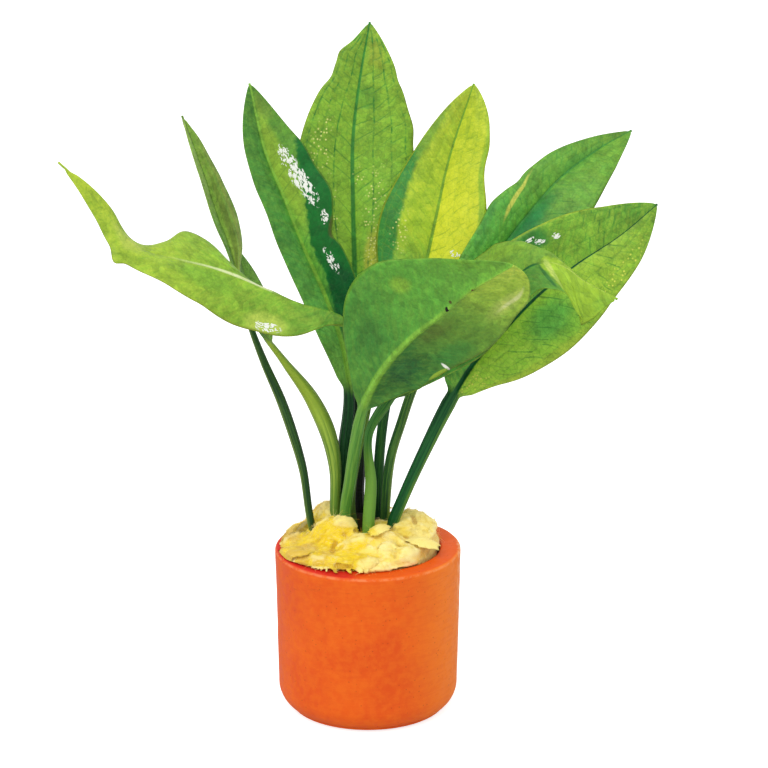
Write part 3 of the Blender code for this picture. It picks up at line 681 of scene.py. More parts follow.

# spine: points along stalk and midrib; stalk: radius from the foot to where the blade starts
# blade: share of the length at which the blade starts; width: greatest half width; widest: where
# heading: the way the leaf leans, from +X towards +Y; turn: roll about the midrib, degrees
# fold: how far the left and right halves rise; wide: share of the half width; sweep: slide along the rib
# camber: how far each half bellies out, mm; wave: how far its margins ripple, mm
# margin: lobes and notches of the outline: side (1 left), share, size, how much wider
# left and right: colours of the halves by share; patches: share, side, sizes, colour, strength, softness, lean
# spots: share, side, sizes, colour; they lie over ribs and veins
# wet and flecks: share, side, sizes of an area with painted white glints of water on a wet film, or with pale flecks
# lit: the side of the stalk with painted light (1 is +X), how much, and its colour; neck: the stalk near the blade
leaves = {
    "leaf_left_arching": dict(
        heading=185, blade=0.42, width=13.5, widest=0.35, base=0.8, taper=1.1, stalk=(1.5, 1.5, 1.3),
        fold=((-35, -50), (-42, -55), (-52, -55), (-57, -40), (-46, 14), (-32, 22), (-22, 20),
              (-34, 0), (-58, 35), (-60, 50), (-60, 50)),
        wide=((0.5, 1), (0.65, 1), (1, 1), (1.03, 0.7), (1.12, 0.5), (1.12, 1.2), (1.08, 0.68), (0.95, 0.4),
              (0.72, 0.5), (0.85, 0.55), (1, 0.6)),
        sweep=((0, 0), (0, 0), (0, 0), (0, 0), (0, 0.1), (0, 0.25), (0, 0.15), (0, 0), (0, 0), (0, 0), (0, 0)),
        margin=((1, 0.715, 0.016, 0.38),),
        spine=((-2, 4, 43), (-5, 4, 61), (-3, 3, 77), (0, 0, 93), (0.5, -2, 103), (-1.5, -3, 114),
               (-7.5, -4, 119.5), (-19, -5, 123.5), (-29.5, -6, 128.5), (-42.5, -7, 134),
               (-55, -8, 137.5), (-63, -8, 140), (-69, -9, 146), (-73, -9, 151.5),
               (-78.5, -9, 158.5), (-85.5, -8, 165)),
        camber=(0.9, 0.5), wave=0.5,
        slot="leaf_yellow_green",
        left=((0.0, (74, 146, 52)), (0.3, (132, 178, 52)), (0.6, (158, 192, 54)), (1.0, (184, 206, 56))),
        right=((0.0, (64, 138, 50)), (0.4, (134, 180, 52)), (0.65, (164, 194, 58)), (1.0, (184, 206, 56))),
        # the whitish midrib is partly its own pale colour and partly a painted highlight
        pale=(196, 214, 76), deep=(102, 164, 48), vein=(112, 168, 50), ribColour=(228, 238, 180),
        ribShow=0.95, ribWide=1.35, ribStart=(0.25, 0.31), ribFade=(0.4, 0.62), veinShow=0.3, under=(150, 190, 66),
        stalkColours=((88, 130, 46), (120, 160, 60), (30, 66, 28)),
        patches=((0.48, 0.35, 0.12, 0.35, (122, 178, 52), 0.6, 0.6, 0), (0.72, 0.1, 0.07, 0.5, (200, 216, 96), 0.6, 0.6, 0),
                 (0.27, 0.8, 0.08, 0.3, (196, 214, 90), 0.7, 0.6, 0), (0.86, 0.1, 0.02, 0.25, (130, 164, 46), 0.6, 0.5, 0)),
        wet=((0.262, 0.86, 0.055, 0.16, 0),),
    ),
    "leaf_left_narrow": dict(
        heading=165, blade=0.5, width=9.5, widest=0.45, base=1.0, taper=1.0, stalk=(1.1, 1.2, 1.5, 1.0),
        fold=((4, 5), (4, 18), (4, 22)),
        wide=((0.3, 0.25), (0.25, 0.2), (0.2, 0.15), (0.2, 0.3), (0.35, 0.72), (0.45, 0.95), (0.5, 1),
              (0.55, 1), (0.7, 1.05), (0.85, 1.25), (0.9, 1.3)),
        spine=((-13.5, 0.5, 44), (-16.5, 0.5, 56), (-19, 3, 72.5), (-21.5, 5, 81), (-25, 8, 90.5),
               (-30, 11, 101.5), (-33.5, 14, 110), (-37, 17, 121), (-40, 20, 132.5),
               (-43.5, 22, 141.5), (-47.5, 25, 153.5), (-53.5, 29, 170)),
        camber=(0.5, 0.5), wave=0.25,
        slot="leaf_olive",
        left=((0.0, (150, 190, 70)), (0.45, (104, 164, 58)), (0.7, (146, 188, 84)), (1.0, (150, 190, 84))),
        right=((0.0, (190, 220, 92)), (0.3, (170, 206, 84)), (0.55, (134, 180, 66)), (1.0, (130, 174, 60))),
        pale=(186, 204, 96), deep=(84, 124, 44), vein=(84, 120, 44), ribColour=(80, 124, 44),
        ribShow=0.6, veinShow=0.4, under=(124, 154, 64),
        stalkColours=((24, 66, 24), (52, 94, 36), (20, 60, 20)), lit=(-1, 0.75, (124, 156, 62)),
        patches=((0.5, -0.75, 0.5, 0.14, (166, 176, 84), 0.5, 0.5, 0), (0.45, -0.35, 0.4, 0.2, (104, 116, 46), 0.5, 0.5, 0)), wet=(),
    ),
    "leaf_left_short": dict(
        heading=160, blade=0.62, width=6.5, widest=0.45, base=1.0, taper=0.85, stalk=(1.7, 1.6, 2.4, 1.1),
        fold=((5, 25),),
        wide=((0.2, 0.2), (0.5, 0.5), (1, 1), (1, 1), (1, 1)),
        spine=((-9, 3, 43), (-9.5, 3.5, 60), (-9.5, 4, 72), (-11, 5, 80), (-16, 9, 90.5),
               (-24.5, 15, 100.5), (-30, 22, 106), (-33, 28, 111.5), (-35.2, 32, 117),
               (-37, 35, 122.5), (-39.5, 38, 129)),
        camber=(0.5, 0.4), wave=0.2,
        slot="leaf_olive",
        left=((0.0, (108, 156, 60)), (1.0, (104, 152, 58))),
        right=((0.0, (132, 180, 72)), (1.0, (124, 176, 70))),
        pale=(122, 156, 66), deep=(60, 104, 42), vein=(62, 104, 42), ribColour=(120, 156, 66),
        ribShow=0.5, veinShow=0.4, under=(104, 144, 60),
        stalkColours=((104, 144, 46), (160, 190, 72), (98, 142, 50)), neck=(170, 196, 56), lit=(1, 0.55, (92, 134, 44)),
        patches=(), wet=(),
    ),
    "leaf_left_broad": dict(
        heading=122, blade=0.31, width=16.5, widest=0.47, base=1.0, taper=0.85, stalk=(1.8, 1.9, 1.7),
        turn=(-10,),
        fold=((10, 15), (14, 22), (16, 30), (16, 34), (16, 30), (12, 22), (8, 15)),
        wide=((0.66, 0.8), (0.65, 0.81), (0.53, 0.7), (0.49, 0.66), (0.54, 0.86), (0.7, 1.05), (0.9, 1.05)),
        margin=((-1, 0.62, 0.06, 0.16), (-1, 0.5, 0.03, -0.12), (-1, 0.78, 0.05, 0.05), (1, 0.72, 0.06, 0.04)),
        spine=((-6.5, 7.5, 43), (-7.5, 8, 63), (-7, 8.5, 75.5), (-5.5, 10, 90), (-7, 12, 104),
               (-11.5, 15, 117.5), (-18.8, 19, 134), (-24.3, 22, 147.5), (-29.8, 25, 161),
               (-34, 29, 179.5)),
        camber=(0.8, 0.8), wave=0.35,
        slot="leaf_deep_green",
        left=((0.0, (132, 188, 76)), (0.3, (96, 170, 70)), (0.5, (80, 152, 58)), (1.0, (78, 136, 48))),
        right=((0.0, (80, 142, 58)), (0.3, (50, 130, 50)), (0.5, (112, 180, 62)), (1.0, (94, 146, 48))),
        pale=(138, 184, 62), deep=(40, 106, 42), vein=(44, 108, 44), ribColour=(134, 186, 66),
        ribShow=0.95, ribWide=1.35, veinShow=0.4, under=(110, 150, 70),
        stalkColours=((4, 52, 24), (26, 82, 38), (2, 40, 16)),
        # the dark outer band of the right half and its dark base are painted shade where that half curls up
        patches=((0.74, -0.25, 0.25, 0.32, (152, 188, 56), 0.8, 0.6, 0), (0.5, -1.02, 0.33, 0.74, (0, 106, 38), 0.96, 0.12, -0.6),
                 (0.28, -0.58, 0.16, 0.46, (0, 84, 34), 0.96, 0.25, 0), (0.93, -0.5, 0.05, 0.5, (120, 150, 54), 0.6, 0.5, 0),
                 (0.52, -0.98, 0.04, 0.12, (96, 92, 40), 0.7, 0.5, 0)),
        wet=((0.7, -0.52, 0.15, 0.26, 0.9), (0.56, -0.78, 0.03, 0.14, 0.5), (0.43, -0.6, 0.06, 0.16, 0.5)),
    ),
    "leaf_back_tall": dict(
        heading=95, blade=0.42, width=17.5, widest=0.45, base=1.0, taper=0.9, stalk=(2.2, 2.1, 1.7),
        fold=((10, 10),),
        wide=((1, 1), (1, 1), (1, 1.06), (1, 1.24), (1, 1.6)),
        margin=((1, 0.895, 0.028, 0.22), (1, 0.81, 0.03, -0.1), (-1, 0.68, 0.05, 0.05), (-1, 0.83, 0.03, -0.05)),
        spine=((-1.9, 9, 43), (-3.3, 11, 59), (-2.6, 13, 77), (-3.5, 21, 96), (-4, 32, 123),
               (-4.5, 39, 142.5), (-4.5, 44, 159.5), (-2.5, 48, 176.5), (0.5, 52, 193)),
        camber=(0.7, 0.7), wave=0.45,
        slot="leaf_mid_green",
        left=((0.0, (166, 212, 62)), (0.35, (152, 202, 60)), (0.65, (134, 182, 54)), (1.0, (126, 168, 52))),
        right=((0.0, (134, 204, 66)), (0.35, (144, 202, 62)), (0.65, (134, 182, 54)), (1.0, (138, 178, 52))),
        pale=(180, 210, 64), deep=(86, 150, 46), vein=(56, 134, 50), ribColour=(58, 138, 54),
        ribShow=0.95, ribWide=1.25, veinShow=0.6, longShow=1.5, under=(150, 184, 80),
        # stalk colours near black: painted shade deep among the stalks
        stalkColours=((4, 36, 18), (14, 56, 26), (0, 6, 2)), footShade=(0.4, 0.7),
        patches=((0.46, 0.85, 0.14, 0.3, (84, 146, 54), 0.7, 0.6, 0), (0.33, -0.95, 0.2, 0.25, (70, 146, 58), 0.7, 0.6, 0),
                 (0.24, -0.4, 0.12, 0.22, (206, 206, 70), 0.8, 0.6, 0), (0.9, -0.45, 0.06, 0.35, (160, 170, 54), 0.5, 0.6, 0),
                 (0.76, -0.2, 0.05, 0.35, (84, 150, 50), 0.5, 0.6, 0)),
        flecks=((0.6, 0.6, 0.14, 0.25), (0.4, 0.45, 0.12, 0.25), (0.36, -0.4, 0.2, 0.3), (0.5, -0.1, 0.04, 0.12)),
        wet=(),
    ),
    "leaf_back_yellow": dict(
        heading=70, blade=0.43, width=16.5, widest=0.45, base=1.0, taper=0.85, stalk=(1.6, 1.5, 1.4),
        fold=((12, 12),),
        wide=((1, 1), (1, 1.02), (0.98, 1.03), (0.84, 1.03), (0.95, 1.9)),
        margin=((-1, 0.8, 0.05, 0.04),),
        spine=((2.5, 8, 43), (3, 9, 58), (3.5, 10, 75), (6, 13, 92), (11.5, 19, 110),
               (16.5, 25, 125.5), (20, 29, 140.5), (23.2, 33, 154.5), (30.8, 38, 177.5)),
        camber=(0.7, 0.7), wave=0.4,
        slot="leaf_yellow_green",
        # the strong yellow, most of all on the right half, is partly painted light shining through the blade
        left=((0.0, (84, 150, 56)), (0.3, (124, 176, 54)), (0.48, (174, 208, 50)), (1.0, (156, 178, 44))),
        right=((0.0, (232, 240, 58)), (0.5, (226, 232, 54)), (0.85, (190, 208, 46)), (1.0, (166, 190, 46))),
        pale=(230, 236, 66), deep=(132, 180, 46), vein=(128, 172, 46), ribColour=(104, 158, 48),
        ribShow=0.85, veinShow=0.45, under=(170, 194, 74),
        stalkColours=((20, 78, 40), (56, 112, 44), (3, 40, 24)),
        patches=((0.76, 0.95, 0.17, 0.36, (112, 160, 50), 0.8, 0.6, 0), (0.36, 1.06, 0.4, 0.47, (50, 140, 58), 0.95, 0.22, -0.15), (0.5, -1.0, 0.5, 0.17, (146, 192, 50), 0.85, 0.35, 0),
                 (0.28, 0.3, 0.09, 0.5, (112, 168, 56), 0.6, 0.6, 0)),
        flecks=((0.42, 0.6, 0.1, 0.2),),
        wet=((0.39, -0.56, 0.018, 0.16, 0),),
    ),
    "leaf_right_upper": dict(
        heading=40, blade=0.42, width=16.0, widest=0.45, base=1.0, taper=0.85, stalk=(1.5, 1.4, 1.4),
        turn=(25,),
        fold=((20, 0), (32, 0), (36, 0), (32, 0), (24, 0), (12, 0)),
        wide=((0.75, 0.87), (0.64, 0.94), (0.59, 1.02), (0.64, 1.09), (0.66, 1.22), (0.66, 1.29)),
        margin=((1, 0.61, 0.03, -0.08), (1, 0.5, 0.05, 0.1), (1, 0.68, 0.04, -0.04), (-1, 0.62, 0.05, -0.05)),
        spine=((4.5, 3.5, 43), (5, 4, 59.5), (7, 5, 76), (9.5, 6, 84), (13.5, 8, 95.5),
               (19.5, 10, 106.5), (28, 13, 119.5), (38, 17, 133), (46, 21, 142.5),
               (55.5, 25, 152.5), (67, 30, 160), (76.5, 34, 164.5)),
        camber=(0.8, 0.7), wave=0.35,
        slot="leaf_deep_green",
        left=((0.0, (120, 190, 70)), (0.45, (104, 186, 72)), (0.7, (106, 166, 58)), (1.0, (98, 144, 46))),
        right=((0.0, (60, 140, 56)), (0.45, (84, 162, 62)), (0.7, (110, 168, 56)), (1.0, (114, 166, 54))),
        pale=(150, 196, 64), deep=(44, 126, 50), vein=(54, 130, 52), ribColour=(56, 132, 56),
        ribShow=0.7, veinShow=0.5, under=(120, 162, 78),
        stalkColours=((22, 78, 36), (88, 136, 56), (24, 66, 32)), lit=(1, 0.7, (134, 170, 66)),
        # the dark band along the midrib and the dark left half beyond the fold are painted shade; the pale line along
        # the fold is a painted highlight
        patches=((0.52, -0.14, 0.2, 0.26, (10, 126, 58), 0.9, 0.8, 0), (0.44, 0.86, 0.13, 0.2, (64, 142, 58), 0.5, 0.5, 2.0),
                 (0.57, 0.66, 0.1, 0.08, (212, 216, 92), 0.95, 0.5, 2.5), (0.8, 0.1, 0.12, 0.3, (80, 152, 56), 0.6, 0.6, 0),
                 (0.46, -0.4, 0.08, 0.5, (48, 128, 54), 0.7, 0.5, 0)),
        wet=((0.62, -0.86, 0.02, 0.08, 0),),
    ),
    "leaf_right_lower": dict(
        heading=15, blade=0.39, width=17.5, widest=0.45, base=0.9, taper=0.85, stalk=(1.7, 1.7, 2.1),
        turn=(75,),
        fold=((5, 5),),
        wide=((1, 1.05), (1, 0.99), (1, 1.01), (1.05, 1.03), (1.3, 1.1)),
        spine=((6, -1.5, 43), (7.5, 0, 56.5), (10, 0, 63), (16.5, -1, 78.5), (25, -1, 96),
               (30, 0, 104), (37.5, 1, 112.5), (50, 3, 125), (58.5, 5, 131.5), (72, 8, 140),
               (82.5, 12, 148)),
        camber=(0.7, 0.8), wave=0.45,
        slot="leaf_mid_green",
        left=((0.0, (90, 168, 60)), (0.45, (110, 182, 62)), (0.65, (126, 180, 54)), (1.0, (96, 152, 48))),
        right=((0.0, (174, 222, 64)), (0.4, (158, 216, 64)), (0.7, (152, 194, 56)), (1.0, (124, 170, 50))),
        pale=(194, 216, 72), deep=(82, 152, 46), vein=(34, 116, 44), ribColour=(6, 84, 40),
        ribShow=1.0, ribWide=1.15, ribTip=-0.1, veinShow=0.6, under=(140, 176, 78),
        stalkColours=((6, 76, 38), (34, 104, 48), (20, 90, 44)), lit=(1, 0.55, (124, 166, 58)),
        # the dark patch round the glints is painted shade
        patches=((0.46, -0.42, 0.13, 0.42, (74, 172, 72), 0.7, 0.7, 0), (0.58, 0.8, 0.075, 0.26, (34, 122, 54), 0.8, 0.6, 0),
                 (0.3, -0.95, 0.3, 0.14, (176, 202, 62), 0.6, 0.5, 0),
                 (0.52, -0.72, 0.1, 0.2, (116, 184, 58), 0.5, 0.7, 0)),
        flecks=((0.78, -0.75, 0.14, 0.25), (0.1, -0.5, 0.08, 0.4)), fleckColour=(226, 232, 96),
        wet=((0.6, 0.74, 0.022, 0.09, 0), (0.65, 0.68, 0.02, 0.08, 0), (0.575, 0.84, 0.03, 0.05, 0)),
    ),
    "leaf_front_right": dict(
        heading=345, blade=0.36, width=15.0, widest=0.45, base=1.0, taper=0.85,
        stalk=(1.75, 1.75, 1.7, 1.2, 1.6),
        turn=(70, 70, 68, 62, 45, 28, 18, 15, 10),
        fold=((10, 0), (10, 0), (10, 0), (10, 0), (10, 0), (10, 0), (10, 0), (15, -5), (25, -15),
              (20, -35), (-20, -50), (-30, -55), (-25, -50)),
        wide=((0.6, 0.9), (0.8, 0.85), (0.9, 0.8), (1, 0.75), (1, 0.75), (0.95, 0.8), (0.95, 0.85),
              (1.05, 0.85), (1.0, 0.8), (0.45, 1), (0.25, 1.35), (0.4, 1), (1, 0.8)),
        sweep=((0, 0), (0, 0), (0, 0), (0, 0), (0, 0), (0, 0), (-0.1, 0), (-0.15, 0.1),
               (-0.2, 0.4), (-0.3, 0.75), (-0.3, 1.1), (0, 1.2), (0, 1)),
        spine=((1, -5, 43), (0.2, -4.5, 54.5), (0.9, -3.5, 68.5), (0.6, -3, 85), (6, -5, 95),
               (12, -7.5, 104.5), (23, -11, 116), (33.5, -15, 126.5), (41, -18, 134.5),
               (45.5, -20, 138.5), (50, -22, 140), (54.5, -24, 139), (59, -26, 136),
               (64, -27.5, 133.5), (68.5, -29, 131.5)),
        camber=(0.4, 0.4), wave=0.2,
        slot="leaf_mid_green",
        left=((0.0, (40, 100, 42)), (0.35, (108, 162, 56)), (0.7, (124, 172, 58)), (1.0, (160, 194, 64))),
        right=((0.0, (40, 100, 42)), (0.3, (80, 160, 62)), (0.5, (60, 136, 50)), (1.0, (120, 172, 58))),
        pale=(160, 194, 64), deep=(84, 146, 50), vein=(70, 138, 50), ribColour=(24, 104, 46),
        ribShow=0.95, ribWide=1.3, ribFade=(0.7, 0.75), veinShow=0.35, under=(134, 172, 70),
        stalkColours=((34, 96, 40), (76, 138, 54), (116, 164, 60)), footShade=(0.2, 0.4),
        lit=(1, 0.5, (84, 138, 50)),
        # the bright lime flap is partly painted light where it faces the light; the pale lines along its fold and along
        # the midrib near the tip are painted highlights
        patches=((0.98, -0.35, 0.245, 1.6, (158, 196, 52), 0.97, 0.06, 0), (0.722, -0.5, 0.008, 0.5, (40, 112, 48), 0.8, 0.5, 0),
                 (0.75, -0.3, 0.014, 0.6, (200, 218, 112), 0.7, 0.5, 0),
                 (0.86, 0.02, 0.14, 0.06, (196, 216, 104), 0.5, 0.5, 0), (0.93, -0.75, 0.05, 0.4, (126, 172, 56), 0.5, 0.6, 0),
                 (0.62, 0.75, 0.12, 0.25, (146, 188, 56), 0.6, 0.6, 0)),
        wet=(),
    ),
    "leaf_front_broad": dict(
        heading=285, blade=0.38, width=19.0, widest=0.4, base=0.8, taper=0.6, stalk=(1.7, 1.7, 1.7),
        turn=(-35, -35, -35, -35, -30),
        fold=((8, 8),),
        wide=((0.15, 0.15), (0.58, 0.66), (0.74, 1.13), (0.98, 1.24), (1.13, 0.93), (1.45, 0.65)),
        margin=((1, 0.27, 0.03, 0.04), (1, 0.86, 0.05, 0.05)),
        sweep=((0, 0), (0, 0), (0, 0), (0, 0), (0.2, 0), (0.4, 0)),
        spine=((-6.3, -1, 43), (-6.4, -1, 61), (-5.2, -4, 69.5), (-3.5, -9, 83), (-0.9, -13, 96),
               (4, -18, 107.5), (11.5, -23, 118), (21, -30, 128), (28, -36, 136),
               (33.5, -41, 141), (39, -45, 145.5)),
        camber=(0.8, 0.9), wave=0.4,
        slot="leaf_deep_green",
        left=((0.0, (62, 118, 46)), (0.35, (52, 116, 48)), (0.62, (106, 156, 54)), (0.85, (172, 208, 70)), (1.0, (194, 222, 80))),
        right=((0.0, (82, 138, 52)), (0.3, (76, 146, 54)), (0.6, (100, 174, 60)), (1.0, (122, 186, 62))),
        pale=(136, 182, 62), deep=(58, 118, 46), vein=(92, 150, 56), ribColour=(132, 188, 64),
        ribShow=0.95, ribWide=1.6, ribFade=(0.6, 0.74), veinShow=0.3, under=None,
        stalkColours=((70, 132, 50), (110, 166, 66), (90, 144, 56)), lit=(-1, 0.5, (122, 172, 66)),
        # the pale streaks on the lobe are a painted sheen; the darker lower parts of both halves are partly painted
        # shade
        patches=((0.53, 0.2, 0.12, 0.2, (92, 112, 44), 0.6, 0.9, 0), (0.8, 0.7, 0.12, 0.2, (196, 212, 108), 0.7, 0.9, 0.5), (0.83, 0.75, 0.1, 0.06, (226, 232, 164), 0.7, 0.8, 0.8),
                 (0.3, 0.4, 0.1, 0.35, (36, 92, 46), 0.7, 0.6, 0), (0.5, 0.75, 0.12, 0.25, (56, 136, 56), 0.6, 0.6, 0),
                 (0.33, -0.45, 0.1, 0.35, (54, 112, 44), 0.6, 0.7, 0), (0.57, -0.6, 0.05, 0.16, (140, 186, 58), 0.8, 0.6, 0),
                 (0.27, 0.55, 0.012, 0.4, (34, 84, 40), 0.7, 0.5, 0.3)),
        # the white streak among the spots is a painted glint
        spots=((0.655, -0.01, 0.008, 0.04, (6, 12, 6)), (0.685, -0.06, 0.007, 0.03, (84, 88, 34)),
               (0.8, 0.01, 0.008, 0.04, (96, 86, 36)), (0.43, 0.9, 0.008, 0.12, (250, 252, 240)),
               (0.385, 0.95, 0.05, 0.06, (150, 186, 58))),
        wet=(),
    ),
}


# A value at a share, 0 to 1, of the way along a smooth run through the given values
def along(values, share, even=True):
    points = [Vector(v) if isinstance(v, tuple) else Vector((v, v)) for v in values]
    if len(points) == 1:
        return points[0]
    steps = [1.0 if even else (b - a).length for a, b in zip(points, points[1:])]
    left = max(0.0, min(1.0, share)) * sum(steps)
    index = 0
    while index < len(steps) - 1 and left > steps[index]:
        left -= steps[index]
        index += 1

    def slope(k):
        before = (points[k] - points[k - 1]) / steps[k - 1] if k else None
        after = (points[k + 1] - points[k]) / steps[k] if k < len(steps) else None
        if before is None or after is None:
            return before or after
        a, b = steps[k - 1], steps[k]
        return (before * b + after * a) / (a + b)

    step = steps[index]
    f = left / step
    return (points[index] * (2 * f**3 - 3 * f**2 + 1)
            + slope(index) * (step * (f**3 - 2 * f**2 + f))
            + points[index + 1] * (3 * f**2 - 2 * f**3)
            + slope(index + 1) * (step * (f**3 - f**2)))


def bladeOutline(leaf, share):
    if share <= 0.0 or share >= 1.0:
        return 0.0
    if share < leaf["widest"]:
        return math.sin(math.pi / 2 * share / leaf["widest"]) ** leaf["base"]
    return math.sin(math.pi / 2 * (1 - share) / (1 - leaf["widest"])) ** leaf["taper"]


def smooth(value):
    value = max(0.0, min(1.0, value))
    return value * value * (3 - 2 * value)


# Everything about a leaf at one row of points
def leafStation(leaf, row, length):
    if row < leafMesh["stalkRows"]:
        share = leaf["blade"] * row / leafMesh["stalkRows"]
    else:
        blade = 1 - (1 - (row - leafMesh["stalkRows"]) / (1 - leafMesh["stalkRows"])) ** leafMesh["tipCrowding"]
        share = leaf["blade"] + (1 - leaf["blade"]) * blade
    step = 0.004
    tangent = (along(leaf["spine"], share + step, even=False)
               - along(leaf["spine"], share - step, even=False)).normalized()
    heading = math.radians(leaf["heading"])
    flatLeft = Vector((-math.sin(heading), math.cos(heading), 0.0))
    flatLeft = (flatLeft - tangent * flatLeft.dot(tangent)).normalized()
    flatUp = tangent.cross(flatLeft)
    blade = max(0.0, min(1.0, (share - leaf["blade"]) / (1 - leaf["blade"])))
    turn = math.radians(along(leaf.get("turn", (0,)), blade)[0])
    width = leaf["width"] * bladeOutline(leaf, blade)
    if share < leaf["blade"]:
        radius = along(leaf["stalk"], share / leaf["blade"])[0]
    else:
        radius = leaf["stalk"][-1] + (leafMesh["tipRadius"] - leaf["stalk"][-1]) * blade**0.7
    left = flatLeft * math.cos(turn) + flatUp * math.sin(turn)
    up = flatUp * math.cos(turn) - flatLeft * math.sin(turn)
    folds = [math.radians(f) for f in along(leaf["fold"], blade)]
    normals = [up * math.cos(folds[0]) - left * math.sin(folds[0]),
               up * math.cos(folds[1]) + left * math.sin(folds[1])]
    widths = [width * w for w in along(leaf.get("wide", (1,)), blade)]
    for side, place, size, more in leaf.get("margin", ()):
        widths[0 if side > 0 else 1] *= 1 + more * math.exp(-((blade - place) / size) ** 2)
    return dict(centre=along(leaf["spine"], share, even=False), tangent=tangent, left=left, up=up,
                radius=radius, widths=widths,
                folds=folds, normals=normals, sweeps=along(leaf.get("sweep", (0,)), blade),
                blade=blade, run=(share - leaf["blade"]) * length)


# How high the skin lies between veins: 0 far from a vein, -1 on one
def veinRelief(reach, side, width, rung):
    lines = [math.exp(-((reach - place) * width / 0.55) ** 2) for place in leafMesh["veins"]]
    band = sum(reach > place for place in leafMesh["veins"])
    phase = rung + 0.41 * band + (0.23 if side > 0 else 0.0)
    lines.append(0.7 * math.exp(-((phase - round(phase)) * leafMesh["rungSpacing"] / 0.55) ** 2))
    return -max(lines)


# One point of a leaf: at an angle round the stalk, which opens flat into the blade
def leafPoint(leaf, station, angle, seed):
    spread = 1 - 2 * abs(angle) / math.pi
    side = 1 if spread >= 0 else -1
    half = 0 if side > 0 else 1
    reach = abs(spread) ** leafMesh["ribCrowding"]
    width, fold = station["widths"][half], station["folds"][half]
    top = math.sin(angle) >= 0
    distance = reach * width
    soft = leafMesh["ribSoft"]
    rise = (math.sqrt(reach**2 + soft**2) - soft) * width
    share = smooth((side * reach + 0.16) / 0.32)
    normal = station["normals"][1].lerp(station["normals"][0], share).normalized()
    place = Vector((side * distance, station["run"], seed * 31.0))
    rung = ((station["run"] - leafMesh["rungSlope"] * distance
             + leafMesh["rungWander"] * noise.noise(place * 0.09)) / leafMesh["rungSpacing"])
    openness = smooth(width / 6) * smooth((1 - reach) / 0.12)
    lift = leaf["camber"][half] * 4 * reach * (1 - reach) * smooth(width / 10)
    lift += leaf["wave"] * reach**2 * smooth(width / 8) * 2 * noise.noise(
        Vector((station["run"] * 0.085, side * 4.0, seed * 17.0)))
    lift += (leafMesh["veinDepth"] * veinRelief(reach, side, width, rung)
             + leafMesh["puff"] * noise.noise(place * 0.2)) * openness
    thick = leafMesh["halfThickness"] * math.sqrt(max(0.0, 1 - reach**6))
    radius = station["radius"]
    if top:
        thick -= 0.22 * math.exp(-(distance / 0.5) ** 2) * (1 - station["blade"])
    else:
        span = 1.3 * radius
        thick += radius * (0.5 + 0.5 * math.cos(math.pi * distance / span)) if distance < span else 0.0
        thick = -thick
    blade = (station["left"] * (side * math.cos(fold) * distance) + station["up"] * (math.sin(fold) * rise)
             + station["tangent"] * (station["sweeps"][half] * distance) + normal * (thick + lift))
    across, height = math.cos(angle), math.sin(angle)
    roundness = radius * (1 - 0.16 * math.exp(-((angle - math.pi / 2) / 0.5) ** 2)
                       + 0.025 * math.cos(7 * angle + seed))
    stalk = station["left"] * (roundness * across) + station["up"] * (roundness * height)
    opened = smooth((width - radius) / (leafMesh["stalkBlend"] * radius))
    point = station["centre"] + stalk.lerp(blade, opened)
    lay = (side * reach, station["blade"], width)
    run = (side * distance, station["run"], rung)
    return point, lay, run, (across, height, opened)


def buildLeafBlank():
    deselectAll()
    bpy.ops.mesh.primitive_cylinder_add(vertices=leafMesh["around"], radius=1, depth=1, location=(0, 0, 0.5),
                                        end_fill_type="NGON")
    obj = bpy.context.active_object
    bpy.ops.object.transform_apply(location=True, rotation=True, scale=True)
    bpy.ops.object.mode_set(mode="EDIT")
    for cuts in leafMesh["rows"]:
        selectEdges(obj.data, lambda e: abs(e.verts[0].co.z - e.verts[1].co.z) > 0.001)
        bpy.ops.mesh.subdivide(number_cuts=cuts)
    bpy.ops.object.mode_set(mode="OBJECT")
    return obj


def spineLength(leaf):
    return sum((Vector(b) - Vector(a)).length for a, b in zip(leaf["spine"], leaf["spine"][1:]))


def shapeLeaf(obj, leaf, seed):
    length = spineLength(leaf)
    stations = {}
    lays, runs, rounds = [], [], []
    for vert in obj.data.vertices:
        x, y, row = vert.co
        key = round(row, 5)
        if key not in stations:
            stations[key] = leafStation(leaf, row, length)
        point, lay, run, around = leafPoint(leaf, stations[key], math.atan2(y, x), seed)
        vert.co = point * mm
        lays.append(lay)
        runs.append(run)
        rounds.append(around)
    setAttribute(obj.data, "leafLay", lays)                              # across -1..1, along 0..1, half width
    setAttribute(obj.data, "leafRun", runs)                              # across and along in mm, rung count
    setAttribute(obj.data, "leafRound", rounds)                          # sideways, upwards, how far opened
    selectOnly(obj)
    bpy.ops.object.shade_smooth()


